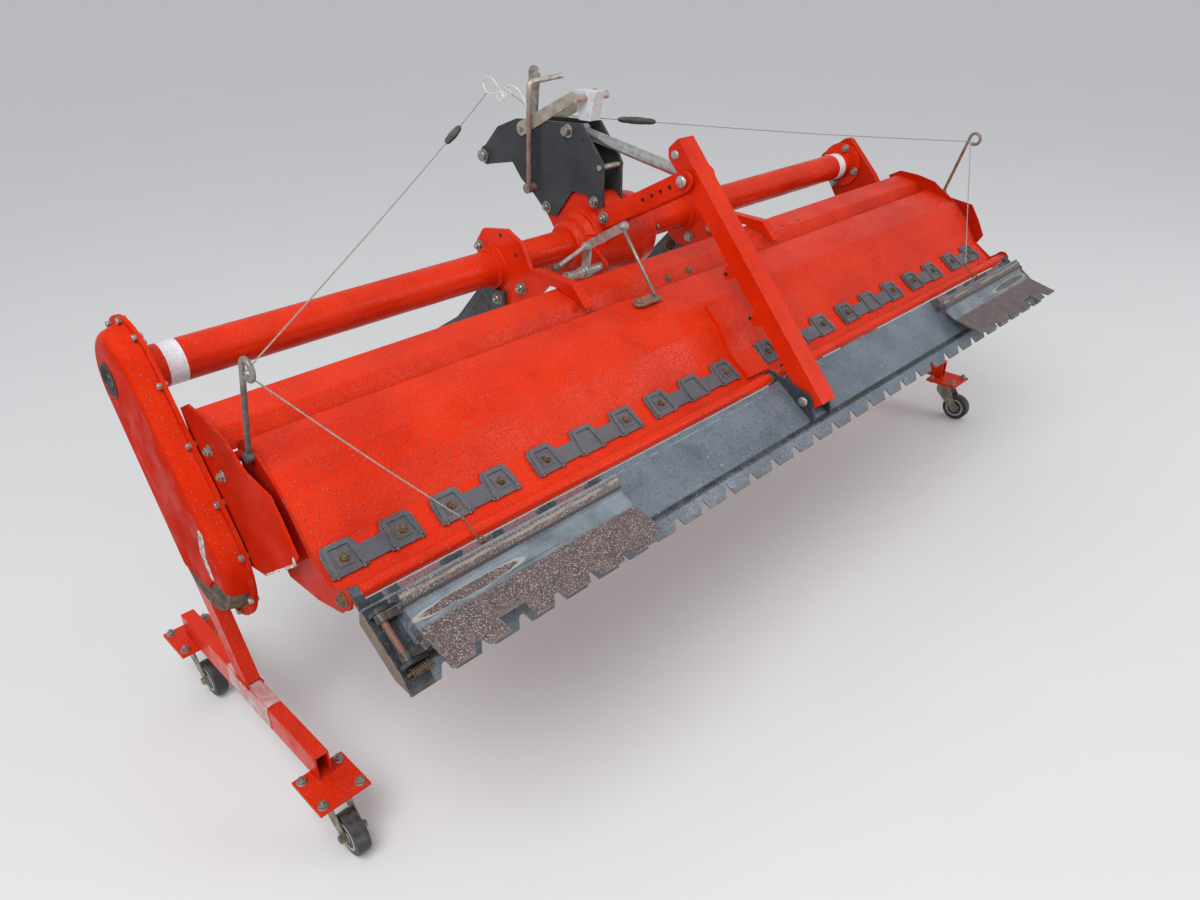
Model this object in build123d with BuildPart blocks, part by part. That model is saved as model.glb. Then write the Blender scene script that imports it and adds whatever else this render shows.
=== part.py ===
"""Drive harrow: a tractor-mounted paddy harrow standing on its four-caster stand.

Frame: +X to the right seen from behind, +Y forward to the tractor, +Z up.
The origin lies on the floor, below the middle of the machine. Millimetres.
"""
import os
from math import asin, atan2, cos, degrees, hypot, radians, sin

from build123d import *

os.makedirs("parts", exist_ok=True)

# Widths, measured from the middle plane
apron_half = 1012
shield_gap = 22
case_inner_x = apron_half + shield_gap
case_half_inner = 3
flange_thickness = 6
case_half_outer = 33
mast_x = -25
bracket_x = 305
lower_pin_end = 57.5

# Side view places: y forward, z up
beam_y, beam_z = 170, 698.5
case_top_y, case_top_z = 140, 697
rotor_y, rotor_z = -8, 452
input_z = 604
hinge_y, hinge_z = -130, 656
pipe_y, pipe_z = -362, 525
arm_pin_y, arm_pin_z = -130, 875
lower_pin_y, lower_pin_z = 420, 447
top_pin_y, top_pin_z = 490, 847

# Beam and chain case
beam_radius = 36
beam_wall = 5
beam_flange_radius = 62
beam_flange_thickness = 8
case_top_radius = 92
case_bottom_radius = 108
case_rim = 12
case_edge_round = 18
case_hole_radius = 26
case_hole_depth = 9
skid_inset = 4
bearing_radius = 45
bearing_length = 10

# Sheet metal
cover_sheet = 3
apron_sheet = 3
side_plate = 4
end_plate = 6
end_fold = 14
link_thickness = 6
bracket_plate = 9
fold_plate = 6
mast_plate = 6
mast_gap = 50
top_pin_radius = 9.5
cross_pin_radius = 6
lower_pin_radius = 11

# Running clearances
running_gap = 0.3
plug_gap = 0.3
plate_gap = 0.3

# Apron hinge pins
hinge_pin_radius = 8

# Rotor
shaft_radius = 30
stub_radius = 17.5
holder_radius = 52
tine_thickness = 8
tine_reach = 165
tine_root = 20
tine_stations = 26
tine_start, tine_turn = -20, 47

# Leveler hinge pipe, leveler and folding extension rakes
pipe_radius = 11
pipe_bolt_radius = 6
knuckle_width = 16
leveler_sheet = 4
leveler_gap = 6
leveler_half = apron_half - leveler_gap
leveler_pin_run, leveler_pin_rise = 80, 32
leveler_slope = 36.2
leveler_height = 10.4
leveler_step = 126
leveler_tip = 151
leveler_drop = 10
leveler_top = leveler_height + leveler_sheet / 2
tooth_pitch = 67.5
tooth_gap_outer, tooth_gap_inner = 27, 9
tooth_depth = 16
fold_inset = 14
fold_x = leveler_half - fold_inset
fold_height = 23
fold_pin_radius = 5
fold_run_from, fold_run_to = 42, 122
extension_inset = 28
extension_outer = fold_x - extension_inset
extension_width = 411
extension_inner = extension_outer - extension_width
extension_sheet = 4

# Closed top linkage
arm_width = 46
arm_wall = 5
arm_web_height = 27
arm_low_edge = 12
arm_pin_radius = 8
arm_low_pin_radius = 5
arm_pin_play = 2.5
arm_end_radius = 12

# Stand and casters
stand_left_out = 11
stand_left_x = -(case_inner_x + stand_left_out)
stand_right_out = 18
stand_right_x = case_inner_x + end_plate + stand_right_out
pad_y_rear, pad_y_front = -258, 252
caster_height = 112
pad_thickness = 6
pad_size = 90
stand_tube_width = 25
stand_tube_height = 50
stand_wall = 3
wheel_radius = 37.5
wheel_width = 25
axle_radius = 5
trail = 42
fork_sheet = 2.5
fork_play = 3


def yz(x):
    """Plane across the machine at x, drawn as (y, z)."""
    return Plane.YZ.offset(x)


def slope_plane(x, y, z, angle):
    """Plane at x with its first axis running down to the rear at an angle."""
    down = (0, -cos(radians(angle)), -sin(radians(angle)))
    return Plane(origin=(x, y, z), x_dir=down, z_dir=(-1, 0, 0))


def on_slope(run, rise, y, z, angle):
    """Side view place of a point given along and above a slope."""
    a = radians(angle)
    return (y - run * cos(a) - rise * sin(a), z - run * sin(a) + rise * cos(a))


def rod(x_from, x_to, y, z, radius, mode=Mode.ADD):
    """Round bar along X."""
    with Locations(Location(((x_from + x_to) / 2, y, z), (0, 90, 0))):
        Cylinder(radius, abs(x_to - x_from), mode=mode)


# Side view of the closed linkage: leveler pin and the arm that reaches it
leveler_frame = (pipe_y, pipe_z, leveler_slope)
pin_y, pin_z = on_slope(leveler_pin_run, leveler_pin_rise, *leveler_frame)
arm_length = hypot(arm_pin_y - pin_y, arm_pin_z - pin_z)
arm_slope = degrees(atan2(arm_pin_z - pin_z, arm_pin_y - pin_y))


def save(builder, name):
    """Label a finished sub-part and write its file."""
    builder.part.label = name
    export_step(builder.part, f"parts/{name}.step")


# Main beam, left and right of the gearbox
gearbox_left = -108
gearbox_right = 142
with BuildPart() as beam:
    for x_end, x_box, sign in ((-case_inner_x, gearbox_left, -1), (case_inner_x, gearbox_right, 1)):
        rod(x_end, x_box, beam_y, beam_z, beam_radius)
        rod(x_end, x_end - sign * beam_flange_thickness, beam_y, beam_z, beam_flange_radius)
        rod(x_end, x_box, beam_y, beam_z, beam_radius - beam_wall, Mode.SUBTRACT)
save(beam, "beam")

# Gearbox: cast body turned about the beam axis, neck up to the mast, nose for the input shaft
neck_half = mast_gap / 2 - 0.5
nose_radius = 48
linkage_pivot = (74, 669)
belly_half = 44
belly_place = (205, input_z)
belly_radius = 52
nose_front = 330
input_radius = 17.45
journal_radius = 21
input_front = 400
foot_rear = (124, 793)
foot_front = (279, 758)
neck_top = (170, 792)
link_front = (88, 766)
body_profile = (
    (gearbox_left, 46), (-96, 54), (-82, 56), (-62, 72), (-10, 82), (10, 85), (58, 94), (106, 84), (122, 58),
    (gearbox_right, 52),
)
with BuildPart() as gearbox:
    with BuildSketch(Plane.XZ.offset(-beam_y)):
        with BuildLine():
            turned = FilletPolyline(*((x, beam_z + radius) for x, radius in body_profile), radius=9)
            Polyline(turned @ 1, (gearbox_right, beam_z), (gearbox_left, beam_z), turned @ 0)
        make_face()
    revolve(axis=Axis((0, beam_y, beam_z), (1, 0, 0)))
    for height, width, length, y_mid in ((beam_z + 30, 132, 138, beam_y), (768, 2 * neck_half, 90, 168)):
        with BuildSketch(Plane.XY.offset(height)):
            with Locations((mast_x, y_mid)):
                RectangleRounded(width, length, min(width, length) * 0.3)
    loft()
    with BuildSketch(yz(mast_x - neck_half)):
        for place, radius in ((foot_rear, 18), (foot_front, 18), (neck_top, 15), (link_front, 14),
                              ((beam_y, beam_z), 70)):
            with Locations(place):
                Circle(radius)
        make_hull()
    extrude(amount=2 * neck_half)
    with BuildSketch(yz(gearbox_left + 18)):
        for place, radius in ((linkage_pivot, 15), ((beam_y, beam_z), 50)):
            with Locations(place):
                Circle(radius)
        make_hull()
    extrude(amount=10)
    rod(gearbox_left, mast_x, *linkage_pivot, 9, Mode.SUBTRACT)
    with BuildSketch(yz(mast_x - belly_half)):
        for place, radius in ((belly_place, belly_radius), ((beam_y, beam_z), 70)):
            with Locations(place):
                Circle(radius)
        make_hull()
    extrude(amount=2 * belly_half)
    with BuildSketch(Plane.XZ.offset(-belly_place[0])):
        with Locations((mast_x, input_z)):
            Circle(nose_radius)
    extrude(amount=-(nose_front - belly_place[0]), taper=3)
    with BuildSketch(Plane.XZ.offset(-nose_front + 14)):
        with Locations((mast_x, input_z)):
            Circle(nose_radius - 2)
    extrude(amount=-14)
    with BuildSketch(Plane.XZ.offset(-nose_front)):
        with Locations((mast_x, input_z)):
            Circle(journal_radius + running_gap)
    extrude(amount=nose_front - beam_y - 60, mode=Mode.SUBTRACT)
save(gearbox, "gearbox")

with BuildPart() as input_shaft:
    for y_from, y_to, radius in ((beam_y + 61, nose_front + 4, journal_radius),
                                 (nose_front + 4, input_front, input_radius)):
        with BuildSketch(Plane.XZ.offset(-y_from)):
            with Locations((mast_x, input_z)):
                Circle(radius)
        extrude(amount=-(y_to - y_from))
save(input_shaft, "input_shaft")

# Mast: two plates, the top hitch pin, the cross pins and the lock lever
mast_outline = (
    (497, 865), (441, 917), (373, 941), (259, 947), (160, 951), (104, 885), (97, 872),
    (100, 777), (138, 786), (148, 806), (194, 806), (250, 742), (282, 743), (327, 783), (366, 809),
    (394, 843), (476, 828),
)
mast_low = mast_x - mast_gap / 2 - mast_plate
mast_high = mast_x + mast_gap / 2 + mast_plate
mast_pin_place = (200, 933)
cross_pin_place = (105, 868)
strap_front, strap_rear = (352, 922), (181, 1002)
with BuildPart() as mast_plates:
    for x_low in (mast_low, mast_high - mast_plate):
        with BuildSketch(yz(x_low)):
            with BuildLine():
                Polyline(*mast_outline, close=True)
            make_face()
            with Locations((top_pin_y, top_pin_z)):
                Circle(22)
                Circle(top_pin_radius, mode=Mode.SUBTRACT)
            with Locations(cross_pin_place, strap_front):
                Circle(cross_pin_radius, mode=Mode.SUBTRACT)
        extrude(amount=mast_plate)
save(mast_plates, "mast_plates")

with BuildPart() as mast_pins:
    rod(mast_low - 8, mast_high + 8, top_pin_y, top_pin_z, top_pin_radius)
    rod(mast_low - 4, mast_high + 4, *cross_pin_place, cross_pin_radius)
    rod(mast_low - 10, mast_high + 10, *strap_front, cross_pin_radius)
    rod(mast_low - 12, mast_low, *mast_pin_place, 9)
    rod(mast_high, mast_high + 12, *mast_pin_place, 9)
save(mast_pins, "mast_pins")

# Lock lever: round bar cranked over the mast, on a pivot through the left plate
lever_pivot = (322, 796)
lever_x = mast_low - 15
with BuildPart() as mast_lever:
    rod(mast_low - 24, mast_low, *lever_pivot, 11)
    with BuildLine() as lever_path:
        FilletPolyline((lever_x, *lever_pivot), (lever_x, 303, 1024), (lever_x + 92, 297, 1030), radius=12)
    with BuildSketch(Plane(origin=lever_path.line @ 0, z_dir=lever_path.line % 0)):
        Circle(6)
    sweep()
save(mast_lever, "mast_lever")

# Zinc straps of the top link lock, joined by the head block and its cross pins
with BuildPart() as mast_strap:
    for x_low in (mast_low - 4 - plate_gap, mast_high + plate_gap):
        with BuildSketch(yz(x_low)):
            for place, radius in ((strap_front, 15), (strap_rear, 11)):
                with Locations(place):
                    Circle(radius)
            make_hull()
            with Locations(strap_front):
                Circle(cross_pin_radius, mode=Mode.SUBTRACT)
        extrude(amount=4)
    rod(mast_low - 12, mast_high + 20, 163, 1001, 8)
    with BuildSketch(yz(mast_x - 14)):
        with BuildLine():
            Polyline((196, 1014), (132, 1014), (150, 955), (184, 955), close=True)
        make_face()
    extrude(amount=28)
    rod(mast_low - 4, mast_high + 4, *strap_rear, 6)
save(mast_strap, "mast_strap")

# Upright flat tongue on the straps' pin, between the mast plates
with BuildPart() as mast_tongue:
    with BuildSketch(yz(mast_x - 3)):
        for place, radius in ((strap_front, 12), ((337, 1036), 16)):
            with Locations(place):
                Circle(radius)
        make_hull()
        with Locations((337, 1036)):
            Circle(5, mode=Mode.SUBTRACT)
        with Locations(strap_front):
            Circle(cross_pin_radius, mode=Mode.SUBTRACT)
    extrude(amount=6)
save(mast_tongue, "mast_tongue")

# Red brackets clamped round the beam that carry the cover and the lower links
bracket_outline = (
    (52, 718), (75, 765), (120, 786), (195, 775), (220, 745), (220, 632), (190, 613), (150, 613),
    (60, 640), (0, 697), (-20, 698), (-78, 685), (-98, 668), (-104, 676), (-70, 712), (30, 716),
)
bracket_lip = ((50, 716), (-68, 712), (-102, 674))
collar_half = 16
collar_radius = 43
lip_width = 22
lower_link_outline = ((130, 655), (130, 610), (250, 520), (385, 425), (440, 420), (455, 450), (430, 482),
                      (300, 560), (205, 655))
with BuildPart() as cover_brackets:
    for sign in (-1, 1):
        with BuildSketch(yz(sign * bracket_x - bracket_plate / 2)):
            with BuildLine():
                Polyline(*bracket_outline, close=True)
            make_face()
            with Locations((beam_y, beam_z)):
                Circle(beam_radius, mode=Mode.SUBTRACT)
        extrude(amount=bracket_plate)
        rod(sign * bracket_x - collar_half, sign * bracket_x + collar_half, beam_y, beam_z, collar_radius)
        with BuildSketch(yz(sign * bracket_x - bracket_plate / 2)):
            with BuildLine():
                FilletPolyline(*bracket_lip, radius=6)
            trace(line_width=4)
        extrude(amount=lip_width)
        rod(sign * bracket_x - collar_half - 1, sign * bracket_x + collar_half + 1, beam_y, beam_z,
            beam_radius, Mode.SUBTRACT)
save(cover_brackets, "cover_brackets")

with BuildPart() as lower_links:
    for sign in (-1, 1):
        x_face = sign * (bracket_x + bracket_plate / 2)
        with BuildSketch(yz(min(x_face, x_face + sign * bracket_plate))):
            with BuildLine():
                Polyline(*lower_link_outline, close=True)
            make_face()
        extrude(amount=bracket_plate)
        rod(x_face + sign * bracket_plate, x_face + sign * lower_pin_end, lower_pin_y, lower_pin_z,
            lower_pin_radius)
        rod(x_face, x_face + sign * 16, lower_pin_y, lower_pin_z, 18)
save(lower_links, "lower_links")

# Chain case on the left: inner half, rim, and the domed outer half that ends above the skid
case_ends = ((case_top_y, case_top_z, case_top_radius), (rotor_y, rotor_z, case_bottom_radius))
case_joint_x = -case_inner_x - case_half_inner - flange_thickness
case_outer_x = case_joint_x - case_half_outer
shell_foot = rotor_z - 52
foot_line = (
    (300, 200), (300, shell_foot), (-28, shell_foot), (-58, shell_foot + 30), (-88, shell_foot + 30),
    (-104, shell_foot + 18), (-300, shell_foot + 18), (-300, 200),
)


def case_outline(grow):
    """Side view of the chain case, larger by grow all round, in the current sketch."""
    for y, z, radius in case_ends:
        with Locations((y, z)):
            Circle(radius + grow)
    make_hull()


with BuildPart() as case_shell:
    for x_start, grow, length, slope in (
        (-case_inner_x, 0, -case_half_inner, 0),
        (-case_inner_x - case_half_inner, case_rim, -flange_thickness, 0),
        (case_joint_x, 0, -case_half_outer, 16),
    ):
        with BuildSketch(yz(x_start)):
            case_outline(grow)
        extrude(amount=length, taper=slope)
    fillet(case_shell.faces().sort_by(Axis.X)[0].edges(), case_edge_round)
with BuildPart() as chain_case:
    add(case_shell.part)
    with BuildSketch(yz(case_joint_x)):
        with BuildLine():
            Polyline(*foot_line, close=True)
        make_face()
    extrude(amount=-case_half_outer - 1, mode=Mode.SUBTRACT)
    rod(case_outer_x, case_outer_x + case_hole_depth, beam_y, beam_z, case_hole_radius, Mode.SUBTRACT)
    rod(case_outer_x + 2, case_outer_x + case_hole_depth, beam_y, beam_z, 9)
    rod(-case_inner_x, -case_inner_x + bearing_length, rotor_y, rotor_z, bearing_radius)
    rod(-case_inner_x - 8, -case_inner_x + bearing_length, rotor_y, rotor_z,
        stub_radius + running_gap, Mode.SUBTRACT)
save(chain_case, "chain_case")

# Worn skid shoe that closes the foot of the outer half, a little inside its edge
with BuildPart() as case_skid:
    with BuildSketch(yz(case_joint_x)):
        case_outline(-skid_inset)
    extrude(amount=-(case_half_outer - skid_inset), taper=14)
    with BuildSketch(yz(case_joint_x)):
        with BuildLine():
            Polyline(*foot_line, close=True)
        make_face()
    extrude(amount=-case_half_outer, mode=Mode.INTERSECT)
save(case_skid, "chain_case_skid")

# Right end plate: carries the beam and the rotor bearing, with a folded front and rear edge
end_corners = (((160, 754), 20), ((222, 706), 22), ((72, 672), 14), ((rotor_y, rotor_z), 78))
with BuildPart() as side_plate_right:
    for x_low, amount in ((case_inner_x, end_plate), (case_inner_x + end_plate, end_fold)):
        with BuildSketch(yz(x_low)):
            for place, radius in end_corners:
                with Locations(place):
                    Circle(radius)
            make_hull()
            if amount > end_plate:
                offset(amount=-5, kind=Kind.ARC, mode=Mode.SUBTRACT)
        extrude(amount=amount)
    rod(case_inner_x - bearing_length, case_inner_x, rotor_y, rotor_z, bearing_radius)
    rod(case_inner_x - bearing_length, case_inner_x + end_plate, rotor_y, rotor_z,
        stub_radius + running_gap, Mode.SUBTRACT)
    rod(case_inner_x + end_plate, case_inner_x + end_plate + 12, rotor_y, rotor_z, 40)
save(side_plate_right, "side_plate_right")

# Shields that close the gap beside the apron
shield_outline = (
    (10, 690), (-22, 706), (-76, 702), (-129, 690), (-180, 655), (-246, 645), (-272, 606), (-292, 568),
    (-280, 548), (-168, 474), (-92, 462), (-54, 484),
)
with BuildPart() as shields:
    for sign in (-1, 1):
        with BuildSketch(yz(min(sign * case_inner_x, sign * (case_inner_x - side_plate)))):
            with BuildLine():
                Polyline(*shield_outline, close=True)
            make_face()
        extrude(amount=side_plate)
        rod(sign * (case_inner_x - side_plate), sign * (apron_half - side_plate), hinge_y, hinge_z,
            hinge_pin_radius)
save(shields, "shields")

# Fixed top cover in two steps
cover_path = ((-16, 664), (-16, 694), (-76, 682), (-92, 648))
with BuildPart() as top_cover:
    with BuildSketch(yz(-case_inner_x + side_plate)):
        with BuildLine():
            FilletPolyline(*cover_path, radius=5)
        trace(line_width=cover_sheet)
    extrude(amount=2 * (case_inner_x - side_plate))
save(top_cover, "top_cover")

# Apron: bent sheet, end plates and the leveler's hinge pipe
apron_path = ((-118, 668), (-150, 663), (-203, 648), (-240, 612), (-278, 552), (-335, 512), (-357, 523))
apron_end_outline = (
    (-118, 670), (-145, 688), (-175, 672), (-206, 650), (-242, 614), (-280, 556), (-330, 522), (-358, 540),
    (-376, 520), (-350, 495), (-281, 480), (-200, 478), (-140, 560), (-116, 650),
)
rib_path = ((-212, 642), (-244, 614), (-281, 556), (-328, 521))
rib_width, rib_height, rib_shift = 68, 14, 25
pipe_end = apron_half - side_plate - knuckle_width - 2
middle_from = mast_x - arm_width / 2 - 16
middle_to = mast_x + arm_width / 2 + 16
with BuildPart() as apron:
    with BuildSketch(yz(-apron_half + side_plate)):
        with BuildLine():
            FilletPolyline(*apron_path, radius=10)
        trace(line_width=apron_sheet)
    extrude(amount=2 * (apron_half - side_plate))
    with BuildSketch(yz(mast_x - rib_width / 2 - rib_shift)):
        with BuildLine():
            FilletPolyline(*rib_path, radius=14)
        trace(line_width=rib_height)
    extrude(amount=rib_width)
    with Locations(((middle_from + middle_to) / 2, pipe_y + 13, pipe_z)):
        Box(middle_to - middle_from, 34, 40, mode=Mode.SUBTRACT)
    for sign in (-1, 1):
        with Locations((sign * apron_half, pipe_y + 13, pipe_z)):
            Box(2 * (apron_half - pipe_end + 1), 34, 40, mode=Mode.SUBTRACT)
    rod(-pipe_end, middle_from, pipe_y, pipe_z, pipe_radius)
    rod(middle_to, pipe_end, pipe_y, pipe_z, pipe_radius)
    rod(mast_x - arm_width / 2, mast_x + arm_width / 2, pipe_y, pipe_z, pipe_radius)
    rod(-apron_half, apron_half, pipe_y, pipe_z, pipe_bolt_radius)
save(apron, "apron")

with BuildPart() as apron_ends:
    for x_low in (-apron_half, apron_half - side_plate):
        with BuildSketch(yz(x_low)):
            with BuildLine():
                Polyline(*apron_end_outline, close=True)
            make_face()
            with Locations((hinge_y, hinge_z)):
                Circle(14)
                Circle(hinge_pin_radius + running_gap, mode=Mode.SUBTRACT)
            with Locations((pipe_y, pipe_z)):
                Circle(17)
                Circle(pipe_bolt_radius, mode=Mode.SUBTRACT)
        extrude(amount=side_plate)
save(apron_ends, "apron_ends")

# Leveler hung on the pipe: end knuckles, plate, end cheeks and toothed strip
cheek_drop = -16


def tooth_plane(run, rise, turn):
    """Plane on the rear edge of a toothed strip: X across, Y back up the strip sloping by turn."""
    a = radians(turn)
    return Plane(origin=(0, *on_slope(run, rise, *leveler_frame)), x_dir=(1, 0, 0),
                 z_dir=(0, -sin(a), cos(a)))


with BuildSketch(mode=Mode.PRIVATE) as notch:
    with BuildLine():
        Polyline((-tooth_gap_outer / 2 - 3, -6), (tooth_gap_outer / 2 + 3, -6),
                 (tooth_gap_inner / 2, tooth_depth), (-tooth_gap_inner / 2, tooth_depth), close=True)
    make_face()
with BuildPart() as leveler:
    with BuildSketch(slope_plane(leveler_half, pipe_y, pipe_z, leveler_slope)):
        with BuildLine():
            FilletPolyline(
                (16, leveler_height), (leveler_step, leveler_height),
                (leveler_tip + 6, leveler_height - leveler_drop), radius=8,
            )
        trace(line_width=leveler_sheet)
    extrude(amount=2 * leveler_half)
    for sign in (-1, 1):
        x_mid = sign * (apron_half - side_plate - 1 - knuckle_width / 2)
        rod(x_mid - knuckle_width / 2, x_mid + knuckle_width / 2, pipe_y, pipe_z, pipe_radius)
        with BuildSketch(slope_plane(x_mid + knuckle_width / 2, pipe_y, pipe_z, leveler_slope)):
            with Locations((14, leveler_height)):
                Rectangle(24, leveler_sheet)
        extrude(amount=knuckle_width)
        rod(x_mid - knuckle_width, x_mid + knuckle_width, pipe_y, pipe_z, pipe_bolt_radius + running_gap,
            Mode.SUBTRACT)
    for sign in (-1, 1):
        with BuildSketch(slope_plane(max(sign * leveler_half, sign * (leveler_half - 3)), pipe_y, pipe_z,
                                     leveler_slope)):
            with BuildLine():
                Polyline((24, leveler_height), (36, cheek_drop), (leveler_step, cheek_drop),
                         (leveler_tip, leveler_height - leveler_drop),
                         (leveler_step, leveler_height), close=True)
            make_face()
        extrude(amount=3)
    with BuildSketch(tooth_plane(leveler_tip + 6, leveler_height - leveler_drop, leveler_slope)):
        for index in range(-14, 15):
            with Locations((index * tooth_pitch, 0)):
                add(notch.sketch)
    extrude(amount=12, both=True, mode=Mode.SUBTRACT)
save(leveler, "leveler")

# Folding extension rakes and their hinge brackets at the leveler's ends
fold_knuckle = 12
y_fold, z_fold = on_slope(fold_run_from - 3, fold_height, *leveler_frame)
fold_direction = (0, -cos(radians(leveler_slope)), -sin(radians(leveler_slope)))
knuckle_runs = (fold_run_from + fold_plate / 2 + 1, fold_run_to - fold_plate / 2 - 1 - fold_knuckle)
extension_profile = ((34, 46), (54, 38.5), (63, 32.4), (89, 35.5), (161, 63.5))
strip_turn = leveler_slope - degrees(atan2(63.5 - 35.5, 161 - 89))
groove_turn = leveler_slope - degrees(atan2(35.5 - 32.4, 89 - 63))
first_notch, wide_notch = 50, 1
extension_end = ((47, 17), (117, 17), (117, 46), (89, 35.5), (63, 32.4), (54, 38.5), (47, 41))
with BuildPart() as hinges:
    for sign in (-1, 1):
        for run in (fold_run_from, fold_run_to):
            with BuildSketch(Plane(origin=(0, *on_slope(run - fold_plate / 2, 0, *leveler_frame)),
                                   x_dir=(1, 0, 0), z_dir=fold_direction)):
                with Locations((sign * fold_x, fold_height)):
                    Circle(10)
                with Locations((sign * (fold_x - 9), leveler_top + 3)):
                    Rectangle(42, 6)
                make_hull()
            extrude(amount=fold_plate)
        with BuildSketch(Plane(origin=(sign * fold_x, y_fold, z_fold), z_dir=fold_direction)):
            Circle(fold_pin_radius)
        extrude(amount=fold_run_to - fold_run_from + 6)
save(hinges, "hinge_brackets")

for side, sign in (("left", -1), ("right", 1)):
    with BuildPart() as extension:
        x_high = max(sign * extension_inner, sign * extension_outer)
        with BuildSketch(slope_plane(x_high, pipe_y, pipe_z, leveler_slope)):
            with BuildLine():
                FilletPolyline(*extension_profile, radius=5)
            trace(line_width=extension_sheet)
        extrude(amount=extension_outer - extension_inner)
        with BuildSketch(tooth_plane(161, 63.5, strip_turn)):
            for index in range(5):
                with Locations((sign * (extension_outer - first_notch - index * (tooth_pitch + 2)), 0)):
                    if index == wide_notch:
                        Rectangle(46, 56)
                    else:
                        add(notch.sketch)
            with Locations((sign * extension_inner, 0)):
                Rectangle(44, 16, rotation=sign * 20)
        extrude(amount=12, both=True, mode=Mode.SUBTRACT)
        with BuildSketch(tooth_plane(78, 34.2 + extension_sheet / 2 - 0.5, groove_turn)):
            with Locations((sign * (extension_outer - 134), 0)):
                SlotOverall(250, 17)
        extrude(amount=2.5, taper=30)
        x_end = max(sign * extension_outer, sign * (extension_outer - extension_sheet))
        with BuildSketch(slope_plane(x_end, pipe_y, pipe_z, leveler_slope)):
            with BuildLine():
                Polyline(*extension_end, close=True)
            make_face()
        extrude(amount=extension_sheet)
        for run in knuckle_runs:
            knuckle_plane = Plane(origin=(sign * fold_x, *on_slope(run, fold_height, *leveler_frame)),
                                  z_dir=fold_direction)
            with BuildSketch(knuckle_plane):
                Circle(fold_pin_radius + running_gap + 3)
            extrude(amount=fold_knuckle)
            x_arm = max(sign * fold_x, sign * extension_outer)
            with BuildSketch(slope_plane(x_arm, pipe_y, pipe_z, leveler_slope)):
                with Locations((run + fold_knuckle / 2, fold_height + 2)):
                    Rectangle(fold_knuckle, 4)
            extrude(amount=fold_x - extension_outer)
            with BuildSketch(knuckle_plane):
                Circle(fold_pin_radius + running_gap)
            extrude(amount=fold_knuckle, mode=Mode.SUBTRACT)
    save(extension, f"extension_{side}")

# Leveler bracket: two plates on the pipe bolt that take the arm's lower pin
bracket_gap = arm_width + 4
with BuildPart() as leveler_bracket:
    for x_right in (mast_x - bracket_gap / 2, mast_x + bracket_gap / 2 + link_thickness):
        with BuildSketch(slope_plane(x_right, pipe_y, pipe_z, leveler_slope)):
            for place, radius in (((0, 0), 16), ((leveler_pin_run, leveler_pin_rise), 15)):
                with Locations(place):
                    Circle(radius)
            with Locations((112, leveler_top + 3)):
                Rectangle(20, 6)
            make_hull()
            Circle(pipe_bolt_radius + running_gap, mode=Mode.SUBTRACT)
            with Locations((76, leveler_top - 25)):
                Rectangle(120, 50, mode=Mode.SUBTRACT)
        extrude(amount=link_thickness)
    half = bracket_gap / 2 + link_thickness + 6
    rod(mast_x - half, mast_x + half, pin_y, pin_z, arm_low_pin_radius)
save(leveler_bracket, "leveler_bracket")

# Arm: U channel between the top linkage and the leveler bracket
with BuildPart() as arm:
    with BuildSketch(slope_plane(mast_x + arm_width / 2, arm_pin_y, arm_pin_z, arm_slope)):
        with BuildLine():
            Polyline((-75, arm_web_height), (arm_length + 22, arm_web_height), (arm_length + 22, 8),
                     (arm_length + 8, -arm_end_radius), (320, -arm_low_edge), (312, -30), (296, -30),
                     (288, -arm_low_edge), (212, -arm_low_edge), (205, -36), (190, -36), (182, -arm_low_edge),
                     (20, -arm_low_edge), (-60, -16), (-75, -4), close=True)
        make_face()
    extrude(amount=arm_width)
    with BuildSketch(slope_plane(mast_x + arm_width / 2 - arm_wall, arm_pin_y, arm_pin_z, arm_slope)):
        with BuildLine():
            Polyline((-90, arm_web_height - arm_wall), (arm_length + 40, arm_web_height - arm_wall),
                     (arm_length + 40, -50), (-90, -50), close=True)
        make_face()
    extrude(amount=arm_width - 2 * arm_wall, mode=Mode.SUBTRACT)
    rod(mast_x - arm_width, mast_x + arm_width, arm_pin_y, arm_pin_z,
        arm_pin_radius + running_gap, Mode.SUBTRACT)
    rod(mast_x - arm_width, mast_x + arm_width, pin_y, pin_z,
        arm_low_pin_radius + arm_pin_play, Mode.SUBTRACT)
save(arm, "arm")

# Rubber plug in the arm's lower end
plug_top = arm_web_height - arm_wall - plug_gap
plug_width = arm_width - 2 * (arm_wall + plug_gap)
with BuildPart() as arm_plug:
    with BuildSketch(slope_plane(mast_x + plug_width / 2, arm_pin_y, arm_pin_z, arm_slope)):
        with BuildLine():
            Polyline((arm_length + 10, plug_top), (arm_length + 24, plug_top),
                     (arm_length + 24, 4), (arm_length + 10, -8), close=True)
        make_face()
    extrude(amount=plug_width)
save(arm_plug, "arm_plug")

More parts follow.
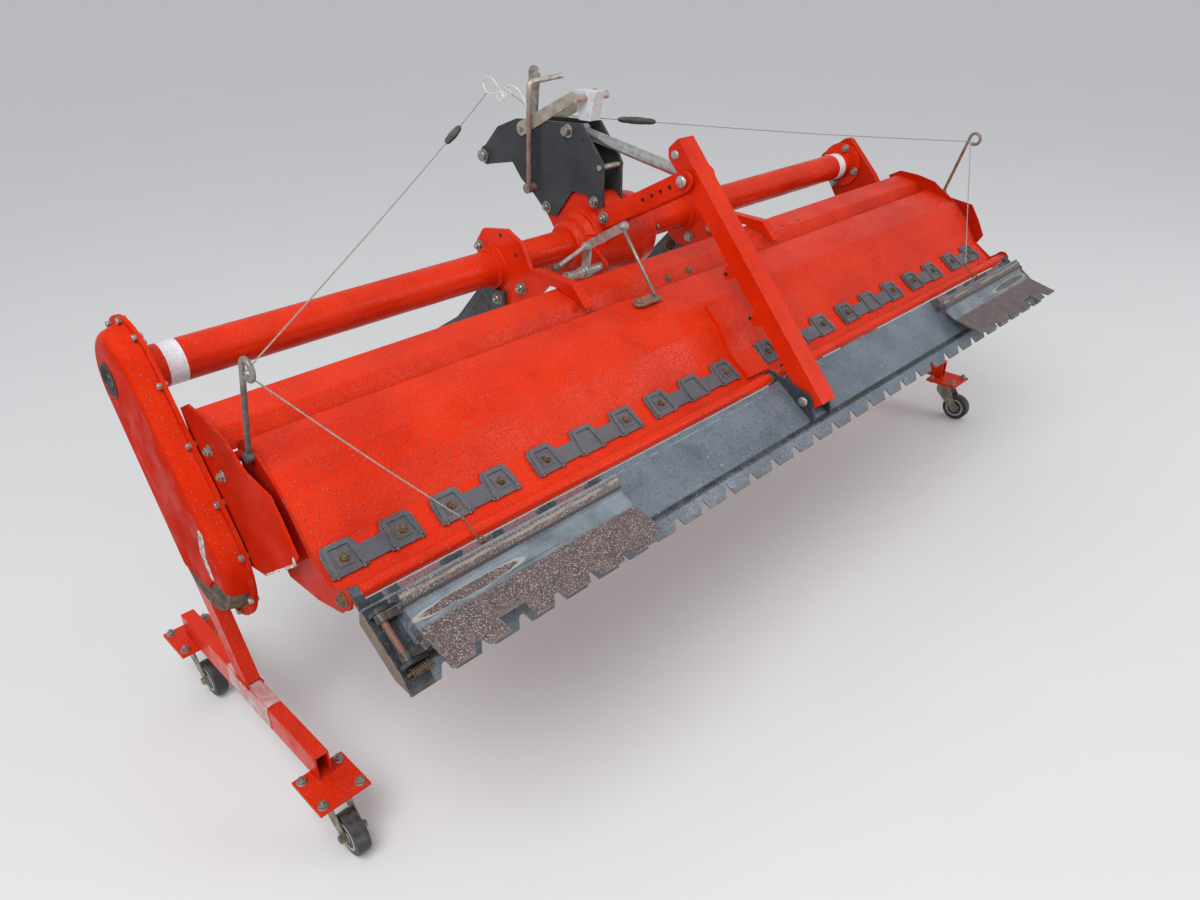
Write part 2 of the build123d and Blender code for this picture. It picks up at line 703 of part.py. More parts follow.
# Link plates from the gearbox to the arm's upper pin
link_rear = (arm_pin_y, arm_pin_z)
with BuildPart() as link_plates:
    x_left = mast_low - link_thickness
    x_right_plate = mast_high
    for x_low in (x_left, x_right_plate):
        with BuildSketch(yz(x_low)):
            for place in (link_rear, link_front):
                with Locations(place):
                    Circle(20)
            make_hull()
            for share in (0.16, 0.27, 0.38, 0.49):
                with Locations((link_rear[0] + share * (link_front[0] - link_rear[0]),
                                link_rear[1] + share * (link_front[1] - link_rear[1]))):
                    Circle(5, mode=Mode.SUBTRACT)
        extrude(amount=link_thickness)
    rod(x_left - 6, x_right_plate + link_thickness + 6, *link_rear, arm_pin_radius)
    for x_from, x_to in ((x_left, mast_x - neck_half), (mast_x + neck_half, x_right_plate + link_thickness)):
        rod(x_from, x_to, *link_front, arm_pin_radius)
    for x_from, x_to in ((x_left, mast_x - arm_width / 2 - running_gap),
                         (mast_x + arm_width / 2 + running_gap, x_right_plate)):
        rod(x_from, x_to, *link_rear, 13)
save(link_plates, "link_plates")

# Strut tube from the mast head to the arm's upper pin
strut_radius = 12
strut_front = Vector(mast_x, 190, 930)
strut_rear = Vector(mast_x, arm_pin_y, arm_pin_z)
with BuildPart() as strut:
    direction = strut_rear - strut_front
    with BuildSketch(Plane(origin=strut_front, z_dir=direction)):
        Circle(strut_radius)
    extrude(amount=direction.length)
    rod(mast_x - 16, mast_x + 16, arm_pin_y, arm_pin_z, 15)
    rod(mast_x - 16, mast_x + 16, 190, 930, 14)
    rod(mast_x - 20, mast_x + 20, arm_pin_y, arm_pin_z, arm_pin_radius + running_gap, Mode.SUBTRACT)
save(strut, "strut")

# Depth lever linkage on the gearbox lug: tube, upright, flat lever and its cranked handle
lever_x_mid = -140
lever_joint = (62, 727)
lever_tip = (-50, 790)
handle_reach = (-84, 2, -27)
with BuildPart() as linkage:
    rod(-190, gearbox_left + 32, *linkage_pivot, 9)
    rod(-208, -186, *linkage_pivot, 6)
    rod(lever_x_mid - 4, lever_x_mid + 14, *linkage_pivot, 13)
    for x_low, ends in ((lever_x_mid, ((linkage_pivot, 10), (lever_joint, 9))),
                        (lever_x_mid - 6, ((lever_joint, 9), (lever_tip, 9)))):
        with BuildSketch(yz(x_low)):
            for place, radius in ends:
                with Locations(place):
                    Circle(radius)
            make_hull()
        extrude(amount=6)
    rod(lever_x_mid - 12, lever_x_mid + 10, *lever_joint, 6)
    rod(lever_x_mid - 10, lever_x_mid + 4, *lever_tip, 5)
    with BuildSketch(Plane(origin=(lever_x_mid - 6, *lever_joint), z_dir=handle_reach)):
        Circle(4.5)
    extrude(amount=hypot(*handle_reach))
save(linkage, "depth_linkage")

# Strips above the pipe that hold the rubber flap, with a ribbed pad at each bolt
retainer_slope = 35
retainer_y, retainer_z = -303, 538
strip_low, strip_high = -17, 13
pad_pitch_left, pad_pitch_right = 95.5, 101.7
retainer_table = (
    # x of the first pad, pads on the strip, pitch
    (-974, 2, pad_pitch_left),
    (-790, 2, pad_pitch_left),
    (-598, 3, pad_pitch_left),
    (-315, 3, pad_pitch_left),
    (19, 3, pad_pitch_right),
    (324, 3, pad_pitch_right),
    (628, 2, pad_pitch_right),
    (837, 2, pad_pitch_right),
)
with BuildSketch(mode=Mode.PRIVATE) as pad:
    with BuildLine():
        Polyline((-29, strip_low - 3), (-28, 19), (-22, 30), (22, 30), (28, 19), (29, strip_low - 3),
                 close=True)
    make_face()
with BuildSketch(mode=Mode.PRIVATE) as pad_rib:
    with BuildLine():
        FilletPolyline((-23, strip_low), (-18, 25), (18, 25), (23, strip_low), radius=6)
    trace(line_width=6)
seat_angle = radians(retainer_slope)
retainer_plane = Plane(origin=(0, retainer_y, retainer_z), x_dir=(1, 0, 0),
                       z_dir=(0, -sin(seat_angle), cos(seat_angle)))
with BuildPart() as retainers:
    for x_first, count, pitch in retainer_table:
        with BuildSketch(retainer_plane.offset(plate_gap)):
            with Locations((x_first + (count - 1) * pitch / 2, (strip_low + strip_high) / 2)):
                Rectangle((count - 1) * pitch + 40, strip_high - strip_low)
            with Locations(*((x_first + index * pitch, 0) for index in range(count))):
                add(pad.sketch)
        extrude(amount=3)
        with BuildSketch(retainer_plane.offset(plate_gap + 3)):
            with Locations(*((x_first + index * pitch, 0) for index in range(count))):
                add(pad_rib.sketch)
        extrude(amount=3)
save(retainers, "flap_retainers")

# Pigtail guide rods for the ropes
guide_foot = (-165, 668)
guide_ring = (-228, 818)
guide_coil = 14
guide_wire = 8
guide_turn = 285
guide_angle = degrees(atan2(guide_ring[1] - guide_foot[1], guide_ring[0] - guide_foot[0]))
guide_reach = hypot(guide_ring[0] - guide_foot[0], guide_ring[1] - guide_foot[1])
coil_start = guide_angle - degrees(asin(guide_coil / guide_reach)) - 90
with BuildPart() as guides:
    for sign in (-1, 1):
        rod(sign * apron_half, sign * (apron_half + 11), *guide_foot, 8)
        with BuildLine(yz(sign * (apron_half + 5))) as guide_path:
            coil = CenterArc(guide_ring, guide_coil, coil_start, guide_turn)
            Line(guide_foot, coil @ 0)
        wire = guide_path.wires()[0]
        with BuildSketch(Plane(origin=wire @ 0, z_dir=wire % 0)):
            Circle(guide_wire / 2)
        sweep(path=wire)
save(guides, "guide_rods")

# Rotor: shaft with tine holders, two tines at each station, set in a spiral
rotor_end = case_inner_x - bearing_length - 2
with BuildSketch(mode=Mode.PRIVATE) as tine_sketch:
    with BuildLine():
        outer = ThreePointArc((holder_radius - 12, tine_root), (112, tine_root + 8), (tine_reach - 8, -26))
        tip = Line(outer @ 1, (tine_reach - 24, -40))
        inner_arc = ThreePointArc(tip @ 1, (106, -14), (holder_radius - 12, -tine_root))
        Line(inner_arc @ 1, outer @ 0)
    make_face()
with BuildPart() as rotor:
    rod(-rotor_end, rotor_end, rotor_y, rotor_z, shaft_radius)
    rod(-case_inner_x - 7, case_inner_x + 5, rotor_y, rotor_z, stub_radius)
    station_pitch = 2 * (rotor_end - 30) / (tine_stations - 1)
    for index in range(tine_stations):
        x_station = -(rotor_end - 30) + index * station_pitch
        with BuildSketch(yz(x_station - tine_thickness / 2)):
            with Locations((rotor_y, rotor_z)):
                Circle(holder_radius)
                with PolarLocations(0, 2, start_angle=tine_start + index * tine_turn):
                    add(tine_sketch.sketch)
        extrude(amount=tine_thickness)
save(rotor, "rotor")

# Stands with their caster pads
stand_top = caster_height + pad_thickness + stand_tube_height
for side, x_mid, x_plate in (
    ("left", stand_left_x, -case_inner_x + plate_gap),
    ("right", stand_right_x, case_inner_x + end_plate + end_fold + plate_gap),
):
    with BuildPart() as stand:
        with BuildSketch(Plane.XZ.offset(-(pad_y_front + 10))):
            with Locations((x_mid, stand_top - stand_tube_height / 2)):
                Rectangle(stand_tube_width, stand_tube_height)
                Rectangle(stand_tube_width - 2 * stand_wall, stand_tube_height - 2 * stand_wall,
                          mode=Mode.SUBTRACT)
        extrude(amount=pad_y_front + 10 - pad_y_rear - 15)
        with BuildSketch(Plane.XY.offset(caster_height)):
            with Locations((x_mid, pad_y_rear), (x_mid, pad_y_front)):
                Rectangle(pad_size, pad_size)
        extrude(amount=pad_thickness)
        with BuildSketch(yz(x_mid - stand_tube_width / 2)):
            with BuildLine():
                Polyline((0, stand_top - 2), (92, 352))
            trace(line_width=40)
        extrude(amount=stand_tube_width)
        split(bisect_by=Plane.XY.offset(caster_height), keep=Keep.TOP)
        with BuildSketch(yz(x_plate)):
            with BuildLine():
                Polyline((50, 340), (120, 335), (106, 480), (40, 480), close=True)
            make_face()
        extrude(amount=6)
        for y in (pad_y_rear, pad_y_front):
            with Locations((x_mid, y, caster_height - 4)):
                Cylinder(5, 8 + pad_thickness)
    save(stand, f"stand_{side}")

# Four casters: swivel fork and wheel
fork_inner = wheel_width / 2 + fork_play
for name, x_mid, y_mid in (
    ("rear_left", stand_left_x, pad_y_rear),
    ("front_left", stand_left_x, pad_y_front),
    ("rear_right", stand_right_x, pad_y_rear),
    ("front_right", stand_right_x, pad_y_front),
):
    y_axle = y_mid - trail
    with BuildPart() as fork:
        with Locations((x_mid, y_mid, caster_height - 8)):
            Cylinder(24, 14)
            Cylinder(5.5, 14, mode=Mode.SUBTRACT)
        for x_leg in (x_mid - fork_inner - fork_sheet, x_mid + fork_inner):
            with BuildSketch(yz(x_leg)):
                for place, radius in (((y_axle, wheel_radius), 11), ((y_mid, 88), 20)):
                    with Locations(place):
                        Circle(radius)
                make_hull()
                with Locations((y_mid, caster_height)):
                    Rectangle(80, 30, mode=Mode.SUBTRACT)
            extrude(amount=fork_sheet)
        with BuildSketch(Plane.XY.offset(93)):
            with Locations((x_mid, y_mid)):
                Rectangle(2 * (fork_inner + fork_sheet), 38)
                Circle(5.5, mode=Mode.SUBTRACT)
        extrude(amount=4)
        rod(x_mid - fork_inner - 8, x_mid + fork_inner + 8, y_axle, wheel_radius, axle_radius)
    save(fork, f"caster_fork_{name}")
    with BuildPart() as wheel:
        rod(x_mid - wheel_width / 2, x_mid + wheel_width / 2, y_axle, wheel_radius, wheel_radius)
        fillet(wheel.edges().filter_by(GeomType.CIRCLE), 4)
        rod(x_mid - wheel_width, x_mid + wheel_width, y_axle, wheel_radius,
            axle_radius + running_gap, Mode.SUBTRACT)
    save(wheel, f"caster_wheel_{name}")
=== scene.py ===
"""Looks of the drive harrow: materials, fasteners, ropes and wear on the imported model."""

from math import cos, pi, radians, sin

import bpy
from mathutils import Matrix, Vector


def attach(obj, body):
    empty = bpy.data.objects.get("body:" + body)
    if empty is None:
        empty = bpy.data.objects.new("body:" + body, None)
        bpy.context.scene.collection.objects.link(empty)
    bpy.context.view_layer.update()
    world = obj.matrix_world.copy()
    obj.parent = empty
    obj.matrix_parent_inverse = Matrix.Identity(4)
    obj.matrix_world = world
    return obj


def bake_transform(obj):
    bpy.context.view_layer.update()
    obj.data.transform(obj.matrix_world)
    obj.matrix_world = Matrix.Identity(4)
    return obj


scene = bpy.context.scene
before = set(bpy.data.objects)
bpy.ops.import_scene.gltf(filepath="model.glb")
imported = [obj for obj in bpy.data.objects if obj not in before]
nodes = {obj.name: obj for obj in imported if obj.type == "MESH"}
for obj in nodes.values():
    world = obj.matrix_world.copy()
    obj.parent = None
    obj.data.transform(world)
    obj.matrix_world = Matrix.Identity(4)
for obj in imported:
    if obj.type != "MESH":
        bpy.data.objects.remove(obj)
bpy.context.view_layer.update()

# Places shared with the solids, in millimetres: first the (y, z) of axes that run along X
PIPE = (-362, 525)
BEAM = (170, 698.5)
CASE_TOP = (140, 697)
ROTOR = (-8, 452)
LINK_PIN = (-130, 875)
MAST_X, BRACKET_X = -25, 305
CASE_FACE, RIM_OUTER, RIM_INNER = -1076, -1043, -1037
CASE_BOLT_REACH = 98
STAND_X = (-1045, 1058)
CASTER_REAR, CASTER_FRONT = -258, 252
SLOPE = radians(36.2)
# Places in metres that materials follow: the rakes, their hinge pins, the strap's pin, the input shaft
RAKE_INNER, RAKE_OUTER = 0.555, 0.965
HINGE_PIN_X, HINGE_PIN_RISE = 0.992, 0.023
STRAP_PIN = (0.163, 1.001)
SHAFT_Z = 0.604


def mm(x, y, z):
    """Point in metres from millimetres."""
    return Vector((x, y, z)) / 1000


def on_leveler(x, run, rise):
    """Point in metres at x, run down the leveler from its pipe and rise above it."""
    return mm(x, *PIPE) + (LEVELER_DOWN * run + LEVELER_UP * rise) / 1000


LEVELER_UP = Vector((0, -sin(SLOPE), cos(SLOPE)))
LEVELER_DOWN = Vector((0, -cos(SLOPE), -sin(SLOPE)))


def show(name, data):
    """Object of a mesh, camera or lamp, put into the scene."""
    holder = bpy.data.objects.new(name, data)
    scene.collection.objects.link(holder)
    return holder


# Camera at the photograph's angle
yaw, pitch, roll = radians(45.47), radians(29.22), radians(-1.09)
ahead = Vector((cos(yaw) * cos(pitch), sin(yaw) * cos(pitch), -sin(pitch)))
across = Vector((sin(yaw), -cos(yaw), 0))
upward = across.cross(ahead)
right = cos(roll) * across + sin(roll) * upward
top = -sin(roll) * across + cos(roll) * upward
camera_data = bpy.data.cameras.new("camera")
camera_data.lens = 26.73
camera_data.sensor_width = 36
camera_data.sensor_fit = "HORIZONTAL"
camera_data.clip_start = 0.05
camera = show("camera", camera_data)
turn = Matrix((right, top, -ahead)).transposed()
camera.matrix_world = Matrix.Translation((-1.4237, -1.2691, 1.2679)) @ turn.to_4x4()
scene.camera = camera
scene.view_settings.view_transform = "Standard"


# Shader graphs
class Graph:
    """A material's node tree with short calls that return sockets."""

    def __init__(self, name):
        self.material = bpy.data.materials.new(name)
        self.material.use_nodes = True
        self.tree = self.material.node_tree
        self.tree.nodes.clear()
        self.shader = self.tree.nodes.new("ShaderNodeBsdfPrincipled")
        output = self.tree.nodes.new("ShaderNodeOutputMaterial")
        self.tree.links.new(self.shader.outputs[0], output.inputs["Surface"])
        self.place = self.add("ShaderNodeTexCoord").outputs["Object"]

    def add(self, kind, sockets=None, **settings):
        """New node with its settings and sockets."""
        node = self.tree.nodes.new(kind)
        for key, value in settings.items():
            setattr(node, key, value)
        return self.fill(node, sockets or {})

    def fill(self, node, sockets):
        """The node, its sockets linked or set."""
        for key, value in sockets.items():
            if isinstance(value, bpy.types.NodeSocket):
                self.tree.links.new(value, node.inputs[key])
            else:
                node.inputs[key].default_value = value
        return node

    def math(self, operation, a, b=0, clamp=False):
        return self.add("ShaderNodeMath", {0: a, 1: b}, operation=operation, use_clamp=clamp).outputs[0]

    def times(self, first, *others):
        """Product of all the values."""
        for other in others:
            first = self.math("MULTIPLY", first, other)
        return first

    def plus(self, a, b):
        return self.math("ADD", a, b)

    def minus(self, a, b):
        return self.math("SUBTRACT", a, b)

    def most(self, a, b):
        return self.math("MAXIMUM", a, b)

    def size(self, a, b):
        """Length of the two offsets together."""
        return self.math("SQRT", self.plus(self.times(a, a), self.times(b, b)))

    def vector(self, operation, a, b):
        """Outputs of a vector operation."""
        return self.add("ShaderNodeVectorMath", {0: a, 1: b}, operation=operation).outputs

    def spread(self, value, low, high, out_low=0, out_high=1):
        """Value moved smoothly from low..high to out_low..out_high and held there."""
        return self.add("ShaderNodeMapRange", {"Value": value, "From Min": low, "From Max": high,
                                               "To Min": out_low, "To Max": out_high},
                        interpolation_type="SMOOTHSTEP").outputs["Result"]

    def fall(self, value, low, high):
        """1 at low, falling to 0 at high."""
        return self.spread(value, low, high, 1, 0)

    def band(self, value, start, low, high, end):
        """1 from low to high, falling to 0 at start and end."""
        return self.times(self.spread(value, start, low), self.fall(value, high, end))

    def noise(self, scale, detail=4, roughness=0.55, distortion=0, stretch=None):
        """Cloudy value round 0.5."""
        place = self.place
        if stretch:
            place = self.vector("MULTIPLY", place, stretch)[0]
        return self.add("ShaderNodeTexNoise", {"Vector": place, "Scale": scale, "Detail": detail,
                                               "Roughness": roughness, "Distortion": distortion}).outputs[0]

    def patches(self, low, high, *noise):
        """1 where a noise is over high, falling to 0 at low."""
        return self.spread(self.noise(*noise), low, high)

    def cells(self, scale):
        """Distance and random value of Voronoi cells."""
        node = self.add("ShaderNodeTexVoronoi", {"Vector": self.place, "Scale": scale})
        red = self.add("ShaderNodeSeparateColor", {"Color": node.outputs["Color"]}).outputs[0]
        return node.outputs["Distance"], red

    def mix(self, amount, a, b):
        """Colour between a at 0 and b at 1."""
        a, b = ((*colour, 1) if isinstance(colour, tuple) else colour for colour in (a, b))
        return self.add("ShaderNodeMix", {"Factor": amount, 6: a, 7: b}, data_type="RGBA").outputs[2]

    def cover(self, amount, colour):
        """Lay a colour over the colour so far."""
        self.colour = self.mix(amount, self.colour, colour)

    def tones(self, grain, a, b, low=0.35, high=0.7):
        """Patches of a and b by a noise."""
        return self.mix(self.spread(grain, low, high), a, b)

    def axes(self):
        """The x, y and z of the shaded point in metres."""
        return self.add("ShaderNodeSeparateXYZ", {"Vector": self.place}).outputs[:3]

    def facing_up(self):
        """1 where the surface looks up, 0 where it looks sideways or down."""
        normal = self.add("ShaderNodeTexCoord").outputs["Normal"]
        z = self.add("ShaderNodeSeparateXYZ", {"Vector": normal}).outputs[2]
        return self.spread(z, 0.05, 0.45)

    def edges(self, radius):
        """1 along sharp edges, 0 elsewhere."""
        soft = self.add("ShaderNodeBevel", {"Radius": radius}, samples=4).outputs[0]
        hard = self.add("ShaderNodeNewGeometry").outputs["Normal"]
        return self.spread(self.vector("DOT_PRODUCT", soft, hard)["Value"], 0.982, 0.88)

    def beads(self):
        """Height of water beads, from 0 to 1."""
        layers = []
        for scale, share in ((170, 0.46), (330, 0.58)):
            distance, chance = self.cells(scale)
            ratio = self.math("DIVIDE", distance, self.spread(chance, 1 - share, 1, 0.14, 0.44))
            dome = self.math("POWER", self.math("SUBTRACT", 1, self.times(ratio, ratio), clamp=True), 0.5)
            layers.append(self.times(dome, self.math("GREATER_THAN", chance, 1 - share), 170 / scale))
        return self.times(self.most(*layers), self.facing_up())

    def slope_run(self):
        """How far down the leveler's slope a point lies, and how far above it, in metres."""
        x, y, z = self.axes()
        dy = self.minus(PIPE[0] / 1000, y)
        dz = self.minus(PIPE[1] / 1000, z)
        run = self.plus(self.times(dy, cos(SLOPE)), self.times(dz, sin(SLOPE)))
        rise = self.minus(self.times(dy, sin(SLOPE)), self.times(dz, cos(SLOPE)))
        return x, run, rise

    def along(self, a, b, inner, outer):
        """1 within inner metres of the straight line from a to b, falling to 0 at outer."""
        a, b = Vector(a), Vector(b)
        span = b - a
        offset = self.vector("SUBTRACT", self.place, a)[0]
        dot = self.vector("DOT_PRODUCT", offset, span / span.length_squared)["Value"]
        share = self.math("MINIMUM", self.most(dot, 0), 1)
        foot = self.add("ShaderNodeVectorMath", {0: span, "Scale": share}, operation="SCALE").outputs[0]
        return self.fall(self.vector("DISTANCE", offset, foot)["Value"], inner, outer)

    def bump(self, height, distance, strength=1, normal=None):
        """Normal that reads as relief of a depth in metres."""
        sockets = {"Height": height, "Distance": distance, "Strength": strength}
        if normal is not None:
            sockets["Normal"] = normal
        return self.add("ShaderNodeBump", sockets).outputs[0]

    def finish(self, roughness, normal, metallic=0, coat=0, coat_roughness=0.1, specular=0.5):
        """Fill the shader and give back the material."""
        self.fill(self.shader, {"Base Color": self.colour, "Roughness": roughness, "Normal": normal,
                                "Metallic": metallic, "Coat Weight": coat, "Coat Roughness": coat_roughness,
                                "Specular IOR Level": specular})
        return self.material


STEEL = (0.2, 0.19, 0.18)
PRIMER = (0.62, 0.6, 0.56)
MUD = (0.16, 0.115, 0.075)
RUST = (0.145, 0.058, 0.028)
RED = (0.71, 0.026, 0.002)
RED_DEEP = (0.54, 0.015, 0.001)
# Lighter red for upward faces: sun fading and a painted sheen
RED_FADED_SHEEN = (0.78, 0.042, 0.007)


def paint(name, base, deep, faded_sheen, wear=0.5, mud=0, beads=1, scars=(), scar_size=0.01, under=STEEL,
          roughness=0.34, coat=0, specular=0.15):
    """Enamel that is wet, lighter on top from sun fading and a painted sheen, with painted highlights on its
    water beads, chipped at its edges and muddy near the ground.
    """
    g = Graph(name)
    up = g.facing_up()
    g.colour = g.tones(g.noise(5, 5, 0.6), base, deep, 0.35, 0.68)
    # Upward faces grow lighter: partly sun fading, partly painted sheen
    g.cover(g.times(up, g.spread(g.noise(9, 6, 0.6, 0.6), 0.3, 0.75, 0.1, 0.5)), faded_sheen)
    g.cover(g.spread(g.noise(30, 4, 0.65, 0.4, (1, 1, 0.12)), 0.56, 0.75, 0, 0.35), deep)
    chips = g.times(g.edges(0.0022), g.patches(0.62 - 0.25 * wear, 0.74 - 0.2 * wear, 55, 5, 0.65))
    specks = g.patches(0.77 - 0.03 * wear, 0.8 - 0.03 * wear, 120, 2, 0.5)
    bare = g.most(chips, g.times(specks, 0.8))
    for a, b in scars:
        ragged = g.times(g.minus(g.noise(70, 5, 0.7), 0.5), 0.9)
        scar = g.spread(g.plus(g.along(a, b, scar_size * 0.2, scar_size), ragged), 0.46, 0.56)
        g.cover(g.times(scar, g.along(a, b, scar_size, scar_size * 1.3)),
                g.tones(g.noise(110, 4), PRIMER, (0.3, 0.27, 0.24), 0.42, 0.6))
    g.cover(bare, g.mix(g.noise(80), under, RUST))
    wet = g.spread(g.noise(14, 4, 0.6), 0.35, 0.7, roughness * 0.5, roughness * 1.4)
    rough = g.plus(wet, g.times(bare, 0.3))
    if mud:
        low = g.spread(g.axes()[2], 0.3, 0.62, 0.6, 0.1)
        dirt = g.math("MULTIPLY", g.times(g.patches(0.46, 0.7, 24, 8, 0.7), low), mud, clamp=True)
        g.cover(dirt, MUD)
        rough = g.plus(rough, g.times(dirt, 0.45))
    beading = g.beads()
    # Painted highlight ringing the slope of each water bead
    painted_bead_highlight = g.times(g.spread(beading, 0.12, 0.45), g.spread(beading, 0.95, 0.6, 0.1, 1))
    g.cover(g.times(painted_bead_highlight, 0.17 * beads), (0.66, 0.3, 0.26))
    height = g.plus(g.times(g.noise(160, 3, 0.6), 0.05), g.times(g.minus(1, bare), 0.1))
    normal = g.bump(height, 0.001, 0.8)
    normal = g.bump(g.times(beading, beads), 0.0013, 1, normal)
    drizzle = g.times(g.patches(0.56, 0.68, 230, 1, 0.4), up)
    normal = g.bump(drizzle, 0.0005 * beads, 0.8, normal)
    normal = g.bump(g.noise(3.5, 2, 0.4), 0.012, 0.2, normal)
    return g.finish(rough, normal, coat=coat, coat_roughness=0.08, specular=specular)


def metal(name, base, dark, rust, mud=0, roughness=0.42, metallic=0.85, scale=60):
    """Plated or bare steel with dulled patches, rust bloom and a dust film."""
    g = Graph(name)
    patch = g.noise(scale, 6, 0.65)
    g.colour = g.tones(patch, base, dark)
    bloom = g.patches(0.72 - 0.4 * rust, 0.82 - 0.3 * rust, scale * 0.7, 8, 0.72, 0.5)
    rusty = g.tones(g.noise(scale * 3, 4), RUST, (0.21, 0.105, 0.06))
    g.cover(g.times(bloom, min(1, 0.55 + rust)), rusty)
    film = g.spread(g.noise(26, 7, 0.7), 0.5, 0.72, 0, mud)
    g.cover(film, MUD)
    cover = g.most(bloom, film)
    rough = g.plus(g.spread(patch, 0.3, 0.7, roughness * 0.75, roughness * 1.25), g.times(cover, 0.3))
    shine = g.times(g.minus(1, g.times(cover, 0.8)), metallic)
    height = g.plus(g.times(g.noise(scale * 5, 3), 0.3), g.times(cover, g.noise(scale * 4, 5, 0.7)))
    normal = g.bump(height, 0.0006, 0.7)
    normal = g.bump(g.times(g.beads(), 0.5), 0.0012, 0.7, normal)
    return g.finish(rough, normal, metallic=shine)


def plain(name, base, dark, roughness=0.5, scale=90, relief=0.0004):
    """Rubber, plastic or cord with fine grain and light dust."""
    g = Graph(name)
    grain = g.noise(scale, 6, 0.65)
    g.colour = g.tones(grain, base, dark)
    g.cover(g.times(g.facing_up(), g.spread(g.noise(35, 6, 0.7), 0.4, 0.7, 0, 0.35)), (0.22, 0.2, 0.18))
    return g.finish(g.spread(grain, 0.3, 0.7, roughness * 0.85, min(1, roughness * 1.2)),
                    g.bump(g.noise(scale * 4, 4, 0.6), relief, 0.8))


def leveler_paint():
    """Blue-grey enamel with a painted sheen on top, a painted highlight along the doubler edge, a painted
    shadow line above the teeth, ends near black partly as painted shade, and primer blotches before the
    rakes.
    """
    g = Graph("leveler_grey")
    x, run, rise = g.slope_run()
    base, deep, pale = (0.125, 0.152, 0.185), (0.085, 0.105, 0.13), (0.19, 0.225, 0.262)
    g.colour = g.tones(g.noise(7, 6, 0.6), base, deep, 0.35, 0.65)
    # Painted sheen: upward faces take the lighter tone
    g.cover(g.times(g.facing_up(), g.spread(g.noise(16, 6, 0.6), 0.3, 0.7, 0.1, 0.6)), pale)
    span = g.math("ABSOLUTE", x)
    rakes = g.band(span, RAKE_INNER - 0.01, RAKE_INNER + 0.01, RAKE_OUTER - 0.01, RAKE_OUTER + 0.01)
    smeared = g.times(rakes, g.fall(run, 0.046, 0.054))
    slant = g.plus(g.times(x, 66), g.times(run, 55))
    wave = g.math("SINE", g.plus(slant, g.times(g.noise(26, 3), 7)))
    g.cover(g.times(g.spread(wave, -0.55, 0.05), smeared, 0.62), (0.3, 0.095, 0.085))
    g.cover(g.times(g.spread(wave, -0.3, -0.6), smeared, 0.85), (0.03, 0.031, 0.036))
    # Painted shadow line under the bent lower edge of the panel, above the teeth
    step_shadow = g.band(run, 0.1165, 0.12, 0.1275, 0.1315)
    g.cover(g.times(step_shadow, g.spread(g.noise(40), 0.3, 0.6, 0.75, 1)), (0.018, 0.02, 0.023))
    chips = g.times(g.edges(0.0025), g.patches(0.42, 0.55, 50, 5, 0.65))
    bare = g.most(chips, g.times(g.patches(0.72, 0.75, 105, 2, 0.5), 0.7))
    g.cover(bare, g.mix(g.noise(60), PRIMER, RUST))
    # Ends by the hinges near black: partly black plates, partly painted shade between the brackets
    ends = g.times(g.spread(span, 0.966, 0.969), g.spread(run, 0.006, 0.01, 0.55, 1))
    g.cover(g.times(ends, g.spread(g.noise(32, 5), 0.35, 0.7, 1, 0.8)), (0.02, 0.024, 0.03))
    crust = g.times(g.spread(span, 1.005, 1.0058), g.patches(0.34, 0.5, 45, 7, 0.7))
    g.cover(crust, g.mix(g.noise(120, 6, 0.7), (0.19, 0.12, 0.075), (0.09, 0.055, 0.035)))
    mud = g.times(g.spread(rise, 0.006, 0.001), g.patches(0.3, 0.6, 20, 8, 0.7))
    g.cover(mud, MUD)
    left = g.spread(x, -0.119, -0.121)
    doubler = g.times(g.spread(run, 0.0262, 0.0275), left)
    # Painted highlight line along the raised edge of the doubler
    line = g.times(g.band(run, 0.0255, 0.0268, 0.0282, 0.0295), left)
    g.cover(g.times(line, g.spread(g.noise(30), 0.4, 0.6, 0.1, 0.6)), (0.34, 0.36, 0.38))
    rough = g.plus(g.spread(g.noise(12, 4), 0.35, 0.7, 0.16, 0.42), g.times(g.most(bare, mud), 0.4))
    normal = g.bump(g.plus(doubler, g.times(g.noise(140, 3), 0.15)), 0.0014, 0.8)
    normal = g.bump(g.beads(), 0.0015, 1, normal)
    normal = g.bump(g.patches(0.52, 0.66, 260, 1, 0.4), 0.0007, 0.9, normal)
    return g.finish(rough, normal, coat=0.1, coat_roughness=0.08, specular=0.4)


